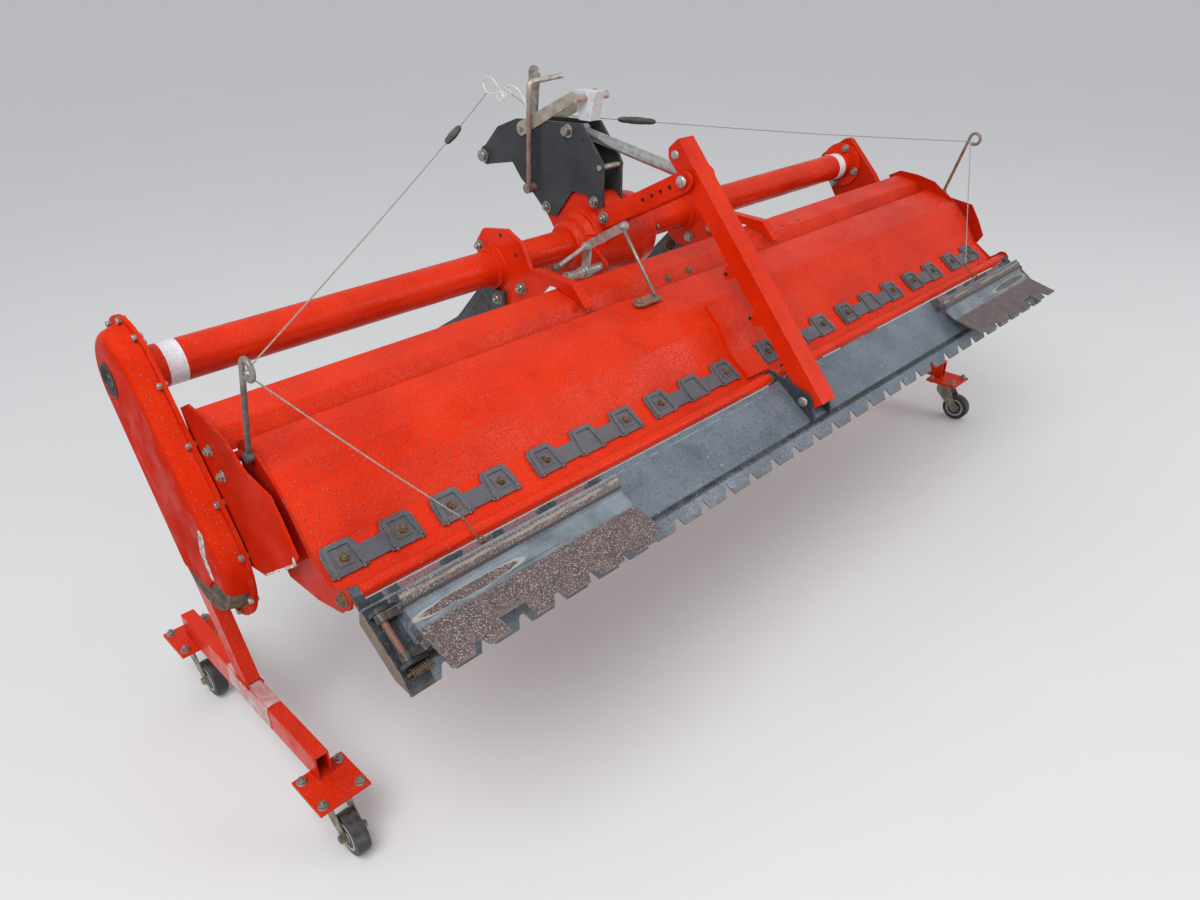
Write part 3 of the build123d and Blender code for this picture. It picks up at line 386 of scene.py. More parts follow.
def rake_paint():
    """Brown primer with pale grit, worn through to wet blue-grey along the groove, with a painted shadow line
    at the fold.
    """
    g = Graph("muddy_steel")
    x, run, _ = g.slope_run()
    span = g.math("ABSOLUTE", x)
    brown = g.tones(g.noise(45, 5, 0.6), (0.12, 0.078, 0.072), (0.07, 0.05, 0.05), 0.3, 0.7)
    grains = []
    for scale, share, strength in ((330, 0.42, 1), (560, 0.52, 0.8)):
        distance, chance = g.cells(scale)
        grains.append(g.times(g.spread(distance, 0.46, 0.26), g.math("GREATER_THAN", chance, share),
                              g.spread(chance, share, 1, 0.45 * strength, strength)))
    left_side = g.spread(x, 0.1, -0.1, 0.38, 1)
    grit = g.times(g.most(*grains), g.times(left_side, g.spread(g.noise(9, 3), 0.34, 0.58, 0.45, 1)))
    brown = g.mix(grit, brown, (0.5, 0.42, 0.39))
    grey = g.tones(g.noise(18, 4), (0.21, 0.245, 0.275), (0.12, 0.145, 0.165), 0.35, 0.65)
    down = g.plus(run, g.times(g.minus(g.noise(30, 3), 0.5), 0.006))
    # An oval dent in the groove keeps its primer inside a pale rim
    oval = g.plus(*(g.math("POWER", g.math("DIVIDE", g.math("ABSOLUTE", g.minus(at, middle)), half), 2)
                    for at, middle, half in ((span, 0.868, 0.09), (down, 0.078, 0.0085))))
    rubbed = g.times(g.band(down, 0.056, 0.061, 0.088, 0.095), g.minus(1, g.spread(oval, 1.05, 0.85)))
    rubbed = g.most(rubbed, g.times(g.spread(down, 0.04, 0.036), 0.8))
    rubbed = g.most(rubbed, g.times(g.edges(0.0022), 0.7))
    g.colour = g.mix(rubbed, brown, grey)
    halo = g.times(g.spread(oval, 0.75, 0.98), g.spread(oval, 1.35, 1.05))
    g.cover(g.times(halo, 0.75), (0.42, 0.4, 0.35))
    # Painted shadow line along the fold below the groove
    g.cover(g.times(g.band(run, 0.052, 0.0535, 0.0565, 0.0585), 0.8), (0.03, 0.03, 0.034))
    lugs = g.tones(g.noise(60, 6), (0.026, 0.028, 0.031), (0.1, 0.055, 0.04), 0.45, 0.65)
    g.cover(g.spread(span, RAKE_OUTER + 0.0015, RAKE_OUTER + 0.003), lugs)
    streak = g.times(g.band(down, 0.0405, 0.043, 0.045, 0.0475), g.patches(0.36, 0.56, 14, 4))
    g.cover(g.times(streak, 0.6), (0.4, 0.35, 0.27))
    g.cover(g.patches(0.71, 0.74, 85, 3), RUST)
    rough = g.plus(g.spread(rubbed, 0, 1, 0.42, 0.2), g.times(grit, 0.2))
    height = g.plus(g.times(grit, 0.6), g.times(g.noise(200, 4), 0.4))
    normal = g.bump(height, 0.0007, g.spread(rubbed, 0, 1, 0.8, 0.15))
    normal = g.bump(g.times(g.beads(), 0.6), 0.0012, 0.6, normal)
    return g.finish(rough, normal, coat=0.15, coat_roughness=0.15)


def muddy_steel():
    """Dark steel under dried mud, with worn bright spots."""
    g = Graph("mud_brown")
    clumps = g.noise(34, 9, 0.72, 0.4)
    g.colour = g.tones(clumps, (0.055, 0.04, 0.03), (0.21, 0.15, 0.1), 0.32, 0.66)
    g.cover(g.patches(0.58, 0.7, 60, 7, 0.7), RUST)
    bright = g.times(g.edges(0.003), g.patches(0.42, 0.6, 60))
    g.cover(bright, (0.34, 0.32, 0.3))
    rough = g.spread(bright, 0, 1, 0.88, 0.4)
    normal = g.bump(g.plus(clumps, g.times(g.noise(190, 6, 0.7), 0.4)), 0.0035, 0.9)
    return g.finish(rough, normal, metallic=g.times(bright, 0.8), specular=0.3)


def hinge_steel():
    """Black hinge brackets whose pin is rusty."""
    g = Graph("hinge_black")
    x, run, rise = g.slope_run()
    away = g.size(g.minus(g.math("ABSOLUTE", x), HINGE_PIN_X), g.minus(rise, HINGE_PIN_RISE))
    pin = g.times(g.fall(away, 0.0056, 0.0062), g.band(run, 0.0452, 0.0458, 0.1182, 0.1188))
    black = g.tones(g.noise(50, 6), (0.018, 0.02, 0.022), (0.055, 0.058, 0.062))
    bloom = g.patches(0.6, 0.7, 42, 8, 0.7)
    rusty = g.mix(g.noise(120, 5), RUST, (0.19, 0.085, 0.06))
    g.colour = g.mix(g.most(pin, g.times(bloom, 0.7)), black, rusty)
    return g.finish(g.spread(g.noise(30), 0.3, 0.7, 0.3, 0.6), g.bump(g.noise(220, 5, 0.7), 0.0008, 0.7))


def guide_steel():
    """The left guide rod dark grey, the right one rusty, both with a zinc-bright coil."""
    g = Graph("guide_steel")
    x, _, z = g.axes()
    grain = g.noise(70, 6, 0.65)
    grey = g.tones(grain, (0.12, 0.11, 0.1), (0.055, 0.052, 0.05))
    rusty = g.tones(grain, (0.26, 0.12, 0.06), (0.12, 0.052, 0.028))
    g.colour = g.mix(g.math("GREATER_THAN", x, 0), grey, rusty)
    bright = g.spread(z, 0.78, 0.8)
    g.cover(g.times(bright, g.spread(g.noise(55, 5), 0.25, 0.5, 0.55, 1)),
            g.mix(grain, (0.4, 0.375, 0.34), (0.17, 0.155, 0.135)))
    rough = g.spread(grain, 0.3, 0.7, 0.38, 0.6)
    return g.finish(rough, g.bump(g.noise(320, 3), 0.0004, 0.7), metallic=g.times(bright, 0.6))


def strap_steel():
    """Yellowish zinc straps round a pale zinc block, with a rusty pink pin."""
    g = Graph("strap_steel")
    x, y, z = g.axes()
    grain = g.noise(60, 6, 0.65)
    strap = g.tones(grain, (0.4, 0.375, 0.3), (0.24, 0.22, 0.165))
    block = g.tones(grain, (0.7, 0.72, 0.74), (0.46, 0.47, 0.48), 0.4, 0.8)
    pin = g.tones(grain, (0.5, 0.36, 0.33), (0.26, 0.15, 0.12))
    inside = g.fall(g.math("ABSOLUTE", g.minus(x, MAST_X / 1000)), 0.0146, 0.015)
    away = g.size(g.minus(y, STRAP_PIN[0]), g.minus(z, STRAP_PIN[1]))
    g.colour = g.mix(inside, g.mix(g.fall(away, 0.009, 0.0096), strap, pin), block)
    g.cover(g.patches(0.7, 0.8, 48, 8, 0.72), RUST)
    return g.finish(g.spread(grain, 0.3, 0.7, 0.35, 0.5), g.bump(g.noise(300, 3), 0.0004, 0.6), metallic=0.15)


def lever_steel():
    """Round lever: brown bloom below, rubbed bright at the bend and the grip."""
    g = Graph("lever_steel")
    z = g.axes()[2]
    grain = g.noise(75, 6, 0.65)
    dull = g.tones(grain, (0.36, 0.245, 0.2), (0.2, 0.12, 0.09))
    bright = g.tones(grain, (0.56, 0.52, 0.48), (0.34, 0.27, 0.23))
    g.colour = g.mix(g.spread(g.plus(z, g.times(grain, 0.05)), 0.96, 1.05), dull, bright)
    return g.finish(g.spread(grain, 0.3, 0.7, 0.35, 0.55), g.bump(g.noise(280, 3), 0.0004, 0.7), metallic=0.5)


def splined_steel():
    """Input shaft: six splines and a lock groove near its end."""
    g = Graph("splined_steel")
    x, y, z = g.axes()
    angle = g.math("ARCTAN2", g.minus(z, SHAFT_Z), g.minus(x, MAST_X / 1000))
    ridge = g.spread(g.math("SINE", g.times(angle, 6)), -0.25, 0.15)
    lock = g.band(y, 0.38, 0.3815, 0.3885, 0.39)
    tall = g.times(ridge, g.minus(1, lock), g.spread(y, 0.336, 0.339))
    grain = g.noise(120, 5, 0.6)
    base = g.tones(grain, (0.46, 0.44, 0.41), (0.26, 0.24, 0.22), 0.35, 0.65)
    grease = g.mix(g.noise(60), (0.03, 0.028, 0.025), (0.1, 0.085, 0.065))
    g.colour = g.mix(g.times(g.minus(1, tall), 0.8), base, grease)
    return g.finish(g.spread(grain, 0.3, 0.7, 0.3, 0.5), g.bump(tall, 0.003), metallic=0.7)


def tape_material():
    """Off-white reflective tape with its fine cell pattern and a scuffed edge."""
    g = Graph("tape_white")
    distance = g.cells(330)[0]
    g.colour = g.tones(distance, (0.84, 0.85, 0.88), (0.7, 0.71, 0.74), 0.2, 0.55)
    g.cover(g.spread(g.noise(40, 7, 0.7), 0.6, 0.72, 0, 0.7), (0.4, 0.33, 0.3))
    normal = g.bump(distance, 0.0002, 0.5)
    normal = g.bump(g.times(g.beads(), 0.6), 0.001, 0.6, normal)
    return g.finish(0.32, normal, coat=0.2)


def wrap_material():
    """Cloudy clear plastic film wound round the tube."""
    g = Graph("plastic_wrap")
    cloud = g.noise(22, 5, 0.6, 0.8)
    folds = g.noise(60, 4, 0.6, 1.5, (1, 0.25, 1))
    g.colour = g.tones(cloud, (0.58, 0.34, 0.32), (0.7, 0.5, 0.48), 0.35, 0.65)
    g.tree.links.new(g.spread(cloud, 0.3, 0.7, 0.55, 0.85), g.shader.inputs["Alpha"])
    return g.finish(g.spread(cloud, 0.3, 0.7, 0.18, 0.4), g.bump(folds, 0.002, 0.8), coat=0.3)


CASE_SCARS = ((mm(-1074, -60, 515), mm(-1072, -46, 475)), (mm(-1072, -46, 475), mm(-1070, -58, 438)))
SHIELD_SCARS = ((mm(-1034, -282, 561), mm(-1034, -279, 548)), (mm(-1034, -279, 548), mm(-1034, -172, 476)))

red = paint("red_paint", RED, RED_DEEP, RED_FADED_SHEEN, wear=0.35)
red_cast = paint("red_cast", RED, RED_DEEP, RED_FADED_SHEEN, wear=0.25)
red_worn = paint("red_paint_worn", RED_DEEP, (0.4, 0.012, 0.002), RED, wear=0.75, mud=0.9, specular=0.04)
red_case = paint("red_case", (0.62, 0.02, 0.002), (0.46, 0.012, 0.001), RED_FADED_SHEEN, wear=0.55, mud=0.2,
                 scars=CASE_SCARS, scar_size=0.016, roughness=0.5, specular=0.015)
red_shield = paint("red_shield", RED_DEEP, (0.4, 0.012, 0.002), RED, mud=0.5, scars=SHIELD_SCARS,
                   scar_size=0.0065, roughness=0.5, specular=0.015)
mast_grey = paint("mast_grey", (0.052, 0.056, 0.062), (0.03, 0.033, 0.037), (0.075, 0.079, 0.086),
                  wear=0.55, beads=0.6, roughness=0.4, coat=0.1, under=(0.3, 0.24, 0.2))
dark_steel = metal("dark_steel", (0.075, 0.08, 0.088), (0.035, 0.037, 0.041), rust=0.18, mud=0.25,
                   metallic=0.25)
retainer = paint("retainer_grey", (0.098, 0.1, 0.114), (0.058, 0.06, 0.07), (0.15, 0.153, 0.17), wear=0.6,
                 beads=0.8, roughness=0.36, coat=0.1, specular=0.4, under=(0.34, 0.31, 0.28))
bracket_grey = paint("bracket_grey", (0.04, 0.046, 0.053), (0.024, 0.028, 0.033), (0.075, 0.085, 0.096),
                     beads=0.7, roughness=0.36, coat=0.2)
zinc = metal("zinc", (0.58, 0.58, 0.57), (0.36, 0.36, 0.35), rust=0.08, roughness=0.36)
zinc_dull = metal("zinc_dull", (0.46, 0.43, 0.36), (0.27, 0.24, 0.19), rust=0.28, roughness=0.45)
zinc_linkage = metal("zinc_linkage", (0.56, 0.55, 0.52), (0.31, 0.29, 0.26), rust=0.26, metallic=0.6)
yellow_zinc = metal("yellow_zinc", (0.36, 0.33, 0.26), (0.17, 0.15, 0.115), rust=0.35, mud=0.5)
bolt_steel = metal("bolt_steel", (0.44, 0.42, 0.39), (0.22, 0.2, 0.18), rust=0.32, scale=110)
bolt_rust = metal("bolt_rust", (0.2, 0.145, 0.085), (0.09, 0.055, 0.036), rust=0.5, roughness=0.62,
                  metallic=0.3, scale=120)
rod_rust = metal("rusty_steel", (0.36, 0.22, 0.16), (0.2, 0.115, 0.08), rust=0.45, roughness=0.5,
                 metallic=0.45, scale=80)
tyre = plain("tyre_black", (0.02, 0.02, 0.021), (0.035, 0.034, 0.033), roughness=0.45, relief=0.0008)
rubber = plain("rubber_black", (0.016, 0.016, 0.017), (0.032, 0.031, 0.03), roughness=0.4)
hub_grey = plain("hub_grey", (0.36, 0.38, 0.39), (0.22, 0.23, 0.24), roughness=0.38)
grip_black = plain("grip_black", (0.028, 0.029, 0.031), (0.06, 0.06, 0.062), relief=0.0006)
cord_grey = plain("cord_grey", (0.42, 0.4, 0.36), (0.25, 0.23, 0.2), roughness=0.7, scale=260)
wire_pale = plain("wire_pale", (0.78, 0.76, 0.7), (0.58, 0.56, 0.5), roughness=0.4)
# Near-black painted shade for the discs that stand in for drilled holes
hole_painted_shade = plain("hole_painted_shade", (0.01, 0.009, 0.009), (0.022, 0.018, 0.016), roughness=0.8)

FINISHES = (
    (red, "beam cover_brackets top_cover link_plates stand_left stand_right apron arm"),
    (red_cast, "gearbox"), (splined_steel(), "input_shaft"), (mast_grey, "mast_plates"),
    (zinc_dull, "mast_pins mast_tongue"), (lever_steel(), "mast_lever"), (strap_steel(), "mast_strap"),
    (dark_steel, "lower_links"), (red_case, "chain_case"), (muddy_steel(), "chain_case_skid rotor"),
    (red_worn, "side_plate_right apron_ends"), (red_shield, "shields"), (zinc, "strut"),
    (zinc_linkage, "depth_linkage"), (retainer, "flap_retainers"), (guide_steel(), "guide_rods"),
    (leveler_paint(), "leveler"), (bracket_grey, "leveler_bracket"), (hinge_steel(), "hinge_brackets"),
    (rake_paint(), "extension_left extension_right"), (rubber, "arm_plug"),
)
FINISH_OF = {name: finish for finish, names in FINISHES for name in names.split()}
for name, node in nodes.items():
    if name.startswith("caster"):
        finish = yellow_zinc if name.startswith("caster_fork") else tyre
    else:
        finish = FINISH_OF[name]
    node.data.materials.clear()
    node.data.materials.append(finish)


# Mesh making
def facing(origin, direction, spin=0):
    """Matrix whose Z axis points along direction at origin."""
    turn = Vector(direction).normalized().to_track_quat("Z", "Y").to_matrix().to_4x4()
    return Matrix.Translation(origin) @ turn @ Matrix.Rotation(spin, 4, "Z")


def around(count):
    """Angles that divide a full turn evenly."""
    return [2 * pi * k / count for k in range(count)]


def on_circle(centre, radius, angle):
    """The (y, z) at an angle on a circle round centre."""
    return centre[0] + radius * cos(angle), centre[1] + radius * sin(angle)


class Shape:
    """Vertices and faces gathered for one object, in metres."""

    def __init__(self):
        self.points = []
        self.faces = []

    def rings(self, loops, closed_ends=True, joined=False):
        """Faces between loops of equally many points."""
        start, count = len(self.points), len(loops[0])
        for loop in loops:
            self.points += [Vector(p) for p in loop]
        last = len(loops) - (0 if joined else 1)
        for i in range(last):
            a, b = start + i * count, start + ((i + 1) % len(loops)) * count
            for j in range(count):
                k = (j + 1) % count
                self.faces.append((a + j, a + k, b + k, b + j))
        if closed_ends and not joined:
            self.faces.append(tuple(start + j for j in reversed(range(count))))
            self.faces.append(tuple(start + last * count + j for j in range(count)))

    def lathe(self, profile, place, segments=20, radius_at=None):
        """Turned piece: profile of (radius, height) in millimetres about the place's Z axis."""
        loops = []
        for radius, height in profile:
            loop = []
            for angle in around(segments):
                r = radius if radius_at is None else radius_at(radius, angle)
                loop.append(place @ mm(r * cos(angle), r * sin(angle), height))
            loops.append(loop)
        self.rings(loops)

    def tube(self, path, radius, sides=8, joined=False):
        """Round bar along points in metres, of one radius in millimetres or a list of them."""
        count = len(path)
        tangents = []
        for i in range(count):
            before = path[i - 1] if i > 0 or joined else path[0]
            after = path[(i + 1) % count] if i < count - 1 or joined else path[-1]
            tangents.append((after - before).normalized())
        side = tangents[0].orthogonal().normalized()
        loops = []
        for i, point in enumerate(path):
            side = (side - side.dot(tangents[i]) * tangents[i]).normalized()
            other = tangents[i].cross(side)
            size = radius[i] if isinstance(radius, list) else radius
            loops.append([point + (side * cos(a) + other * sin(a)) * size / 1000 for a in around(sides)])
        self.rings(loops, joined=joined)

    def plate(self, outline, place, thickness, bevel=0.6):
        """Flat piece from an outline in the place's XY plane, thickness up its Z axis, in millimetres."""
        middle = Vector((sum(p[0] for p in outline), sum(p[1] for p in outline))) / len(outline)
        loops = []
        for height, inset in ((0, bevel), (bevel, 0), (thickness - bevel, 0), (thickness, bevel)):
            loop = []
            for corner in outline:
                away = Vector(corner) - middle
                p = middle + away * max(0, 1 - inset / max(away.length, 1e-6))
                loop.append(place @ mm(p.x, p.y, height))
            loops.append(loop)
        self.rings(loops)

    def piece(self, name, material, angle=None):
        """The shape as an object, smooth but for edges sharper than an angle in degrees."""
        mesh = bpy.data.meshes.new(name)
        mesh.from_pydata([tuple(p) for p in self.points], [], self.faces)
        mesh.validate()
        mesh.shade_smooth()
        if angle:
            mesh.set_sharp_from_angle(angle=radians(angle))
        mesh.materials.append(material)
        return show(name, mesh)

    def make(self, name, body, material, angle=38):
        """The shape as a piece that rides on one body."""
        piece = self.piece(name, material, angle)
        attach(piece, body)


def curve_through(points, steps=8):
    """Smooth line through points."""
    line = []
    for i in range(len(points) - 1):
        a, b = points[max(i - 1, 0)], points[i]
        c, d = points[i + 1], points[min(i + 2, len(points) - 1)]
        for k in range(steps):
            t = k / steps
            line.append(0.5 * ((2 * b) + (c - a) * t + (2 * a - 5 * b + 4 * c - d) * t * t
                               + (3 * b - a - 3 * c + d) * t ** 3))
    line.append(points[-1])
    return line


LEFT, RIGHT, UP = Vector((-1, 0, 0)), Vector((1, 0, 0)), Vector((0, 0, 1))


def both_ends(half, middle=0):
    """The x of both ends of a length 2 * half, each with the way out."""
    return [(middle + half * side.x, side) for side in (LEFT, RIGHT)]


def hexagon(radius, angle):
    """Radius of a hexagon with the flats at that distance."""
    return radius / cos((angle % (pi / 3)) - pi / 6)


def bolt(shape, place, direction, spin, width, head=None, washer=None, stud=0):
    """Hexagon head or nut with its washer, and a stud end where stud is given."""
    place = facing(place, direction, spin)
    head = head or width * 0.42
    base = 0
    if washer:
        base = width * 0.12
        shape.lathe(((washer * 0.9, -0.4), (washer, 0.2), (washer, base * 0.75), (washer * 0.93, base)),
                    place, 22)
    half = width / 2
    shape.lathe(((half, base - 0.2), (half, base + head * 0.8)), place, 24, hexagon)
    shape.lathe(((half * 1.06, base + head * 0.78), (half * 0.94, base + head), (half * 0.62, base + head),
                 (half * 0.55, base + head * 0.93)), place, 24)
    if stud:
        core = half * 0.56
        shape.lathe(((core, base), (core, base + head + stud * 0.75), (core * 0.8, base + head + stud)),
                    place, 16)


def pair(shape, half, y, z, spin, width, middle=0, inwards=False, **details):
    """Bolts at both ends of a length 2 * half along X."""
    for x, side in both_ends(half, middle):
        bolt(shape, mm(x, y, z), -side if inwards else side, spin, width, **details)


def dome(shape, place, direction, radius, height):
    """Domed pin head."""
    profile = [(radius, -0.4), (radius, height * 0.35)]
    for k in range(1, 5):
        a = k * pi / 8.6
        profile.append((radius * cos(a), height * (0.35 + 0.65 * sin(a))))
    shape.lathe(profile, facing(place, direction), 24)


def hole(shape, place, direction, radius):
    """Near-black disc of painted shade that reads as a drilled hole."""
    shape.lathe(((radius, 0.05), (radius * 0.9, 0.22), (radius * 0.3, 0.12)), facing(place, direction), 18)


# Bolts round the chain case: on its two round ends and along both straight edges between them
case_axis = Vector(ROTOR) - Vector(CASE_TOP)
case_bolts = [on_circle(CASE_TOP, CASE_BOLT_REACH, radians(angle)) for angle in (88, 120, 52, 12)]
case_bolts += [on_circle(ROTOR, 114, radians(angle)) for angle in (162.5, 205, 252, 300)]
lean = 16 / case_axis.length
for side in (-1, 1):
    square = Vector((case_axis.y, -case_axis.x)).normalized() * side
    edge_normal = (square - case_axis.normalized() * lean).normalized()
    edge_run = Vector((-edge_normal.y, edge_normal.x)) * side
    if edge_run.dot(case_axis) < 0:
        edge_run = -edge_run
    edge_start = Vector(CASE_TOP) + edge_normal * CASE_BOLT_REACH
    case_bolts += [edge_start + edge_run * run for run in (39, 136, 232)]

bolts = Shape()
rusty = Shape()
for y, z in case_bolts:
    bolt(bolts, mm(RIM_OUTER, y, z), LEFT, y, 10, head=6)
    bolt(bolts, mm(RIM_INNER, y, z), RIGHT, z, 10, head=3)
for angle in (105, 195, 285, 15):
    pair(bolts, 1026, *on_circle(BEAM, 50, radians(angle)), angle, 17, inwards=True, washer=11, stud=5)
# Bracket plates on the beam, outside and inside
pair(bolts, BRACKET_X + 4.5, 208, 737, 0.3, 17, washer=12, stud=5)
pair(bolts, BRACKET_X + 4.5, 80, 674, 0.1, 19, washer=13, stud=6)
pair(bolts, BRACKET_X + 13.5, 148, 638, 0.5, 19, washer=13, stud=5)
pair(bolts, BRACKET_X - 4.5, 208, 737, 0.4, 17, inwards=True, washer=12)
pair(bolts, BRACKET_X - 4.5, 80, 674, 0.2, 19, inwards=True, washer=13)
pair(bolts, BRACKET_X - 4.5, 148, 638, 0.2, 19, inwards=True, washer=13)
pair(rusty, BRACKET_X + 4.5, 221, 600, 0.2, 22, inwards=True, washer=16, stud=6)
# Fixed cover and shields
for x in (-50, 17):
    bolt(rusty, mm(x, -84.6, 667.5), (0, -0.905, 0.426), x, 10, washer=8, stud=3)
for y, z in ((-69, 648), (-96, 616)):
    pair(bolts, 1034, y, z, y, 13, washer=9.5, stud=3)
# Mast plates and the links on them
for y, z in ((279, 758), (124, 793)):
    bolt(bolts, mm(MAST_X - 31, y, z), LEFT, z, 17, washer=13, stud=4)
    bolt(bolts, mm(MAST_X + 31, y, z), RIGHT, z, 17, washer=13, stud=7)
pair(bolts, 37, 88, 766, 0.7, 19, MAST_X, washer=13.5, stud=4)
pair(bolts, 31, 200, 933, 0.35, 19, MAST_X, washer=14.5, head=12.5)
pair(bolts, 38.7, 490, 847, 0.2, 24, MAST_X, washer=15, head=8)
# Gearbox flange, the rotor's right bearing and the right end plate
for k, angle in enumerate(around(6)):
    bolt(bolts, mm(142, *on_circle(BEAM, 48, angle)), RIGHT, k, 13, washer=9)
for angle in around(5):
    bolt(bolts, mm(1052, *on_circle(ROTOR, 30, angle + 0.5)), RIGHT, angle + 0.5, 13, washer=8.5)
for y, z in ((127, 682), (194, 640)):
    bolt(bolts, mm(1034, y, z), LEFT, y, 13, washer=9.5, stud=2)
bolts.make("frame_bolts", "frame", bolt_steel)
rusty.make("frame_rusty_bolts", "frame", bolt_rust)

pins = Shape()
for x, side in both_ends(43, MAST_X):
    dome(pins, mm(x, *LINK_PIN), side, 12, 6)
pins.make("link_pin_heads", "frame", zinc)
arm_pins = Shape()
for x, side in both_ends(23, MAST_X):
    dome(arm_pins, mm(x, -95.5, 918), side, 9.5, 3.5)
arm_pins.make("arm_pin_heads", "arm", zinc)

# Flap retainers: bolts and washers on the pads that have them, a raised rail round every pad
RETAINER_TILT = radians(35)
retainer_up = Vector((0, -sin(RETAINER_TILT), cos(RETAINER_TILT)))
retainer_back = Vector((0, cos(RETAINER_TILT), sin(RETAINER_TILT)))
PAD_X = (-974, -878.5, -790, -694.5, -598, -407, -315, -124, 19, 222.4, 324, 527.4, 628, 729.7, 837, 938.7)
PLAIN_PAD_X = (-502.5, -219.5, 120.7, 425.7)
RAIL = ((-21, -22, 0), (-21, 16, 1), (-17, 22.5, 1), (17, 22.5, 1), (21, 16, 1), (21, -22, 0))


def on_retainer(x, back, lift):
    """Point in metres on the retainers, back and lift in millimetres from a line on their sloping top."""
    return mm(x, -303, 538) + (retainer_back * back + retainer_up * lift) / 1000


pad_bolts = Shape()
seats = Shape()
for k, x in enumerate(PAD_X):
    place = on_retainer(x, 3, 3.3)
    bolt(pad_bolts, place, retainer_up, k * 1.7, 12, washer=9.5, head=6, stud=2.5)
    seats.plate([(-12, -12), (12, -12), (12, 12), (-12, 12)], facing(place, retainer_up), 1.4, 0.4)
for x in PAD_X + PLAIN_PAD_X:
    seats.tube([on_retainer(x + aside, back, 3.6 + lift) for aside, back, lift in RAIL], 1.7)
pad_bolts.make("flap_retainer_bolts", "apron", bolt_rust)
seats.make("flap_retainer_washers", "apron", retainer)

end_nuts = Shape()
pair(end_nuts, 1012, *PIPE, 0.4, 15, washer=11, stud=2)
end_nuts.make("pipe_end_nuts", "apron", bolt_rust)
bracket_pins = Shape()
pair(bracket_pins, 31, *PIPE, 0.6, 15, MAST_X, washer=11, stud=2)
bracket_pins.make("bracket_pipe_bolts", "leveler", bolt_rust)
low_pins = Shape()
for x, side in both_ends(37, MAST_X):
    dome(low_pins, on_leveler(x, 80, 32), side, 10, 5)
low_pins.make("bracket_pin_heads", "leveler", zinc_dull)

# Drilled holes drawn as near-black discs of painted shade, in the cover, the bracket plates, the mast and the
# link plates
holes = Shape()
for x in (387, 456):
    hole(holes, mm(x, -66, 685.6), (0, -0.195, 0.98), 4)
for y, z in ((139, 771), (94, 739)):
    for x in (-BRACKET_X - 4.5, BRACKET_X - 4.5):
        hole(holes, mm(x, y, z), LEFT, 4.5)
hole(holes, mm(MAST_X - 31, 157, 919), LEFT, 4.5)
for share in (0.16, 0.27, 0.38, 0.49):
    for x, side in both_ends(33.5, MAST_X):
        hole(holes, mm(x, LINK_PIN[0] + 218 * share, LINK_PIN[1] - 109 * share), side, 4.9)
holes.make("frame_holes", "frame", hole_painted_shade)
arm_holes = Shape()
for x, side in both_ends(23, MAST_X):
    for y, z in ((-234.7, 708.4), (-299.2, 632.1)):
        hole(arm_holes, mm(x, y, z), side, 4.5)
arm_holes.make("arm_holes", "arm", hole_painted_shade)

# Rubber cap in the chain case's recess
cap = Shape()
cap.lathe(((25.3, 0.4), (25.3, 5), (29, 9.1), (29, 10.6), (26.5, 10.9), (21, 4), (12, 3),
           (10.8, 7.6), (5, 8), (3.5, 7)), facing(mm(CASE_FACE + 9, *BEAM), LEFT), 40)
cap.make("case_cap", "frame", rubber)

WELD_STEP = 4.5


def weld(shape, path, radius, joined=False):
    """Weld bead, run with an uneven hand."""
    sizes = [radius * (1 + 0.22 * sin(1.9 * i) + 0.1 * sin(0.7 * i + 1)) for i in range(len(path))]
    shape.tube(path, sizes, 7, joined)


def ring_path(x, centre, radius):
    """Points in metres round a circle that faces along X."""
    count = max(8, int(2 * pi * radius / WELD_STEP))
    return [mm(x, *on_circle(centre, radius, angle)) for angle in around(count)]


def straight_path(a, b):
    """Points from a to b."""
    count = max(2, int((b - a).length * 1000 / WELD_STEP))
    return [a.lerp(b, i / count) for i in range(count + 1)]


welds = Shape()
for sign, stand in zip((-1, 1), STAND_X):
    weld(welds, ring_path(sign * 1025.5, BEAM, 37.2), 3.2, True)
    for offset, radius in ((-17, 37.5), (17, 37.5), (-5.2, 44), (5.2, 44)):
        weld(welds, ring_path(sign * BRACKET_X + offset, BEAM, radius), 2.6, True)
    for x in (stand - 13, stand + 13):
        weld(welds, straight_path(mm(x, -24, 168.4), mm(x, 24, 168.4)), 2.4)
    for y in (CASTER_REAR + 45.6, CASTER_FRONT - 45.6):
        weld(welds, straight_path(mm(stand - 12, y, 118.6), mm(stand + 12, y, 118.6)), 2.2)
welds.make("weld_beads", "frame", red, 80)

# Reflective tape round the beam
bands = Shape()
for start, end in ((-996, -966), (966, 996)):
    bands.lathe(((36.05, start), (36.35, start + 0.3), (36.35, end - 0.3), (36.05, end)),
                facing(mm(0, *BEAM), RIGHT), 48)
bands.make("beam_tape", "frame", tape_material())

# Depth linkage: knob on its handle, collar rings, and the rod down to a tab on the apron
knob = Shape()
handle_start, handle_end = mm(-146, 62, 727), mm(-230, 64, 700)
knob.lathe(((4.5, -9), (6.6, -7), (8.2, -2), (8.2, 2), (6.6, 7), (3, 9)),
           facing(handle_end, handle_end - handle_start), 20)
knob.make("linkage_knob", "frame", bolt_rust)
collars = Shape()
for x in (-192, -150, -122, -84):
    collars.lathe(((9, -3), (11.5, -2.4), (11.5, 2.4), (9, 3)), facing(mm(x, 74, 669), RIGHT), 24)
bolt(collars, handle_start, LEFT, 0.3, 13, washer=9, stud=3)
bolt(collars, mm(-146, -50, 790), LEFT, 0.1, 12, washer=8.5, stud=3)
collars.make("linkage_collars", "frame", zinc_linkage)
TAB = mm(-188, -152, 668.5)
tab = Shape()
tab.plate([(13 * cos(a) + (22 if cos(a) > 0 else -22), 13 * sin(a)) for a in around(28)],
          facing(TAB, (0, -0.1, 1)), 5)
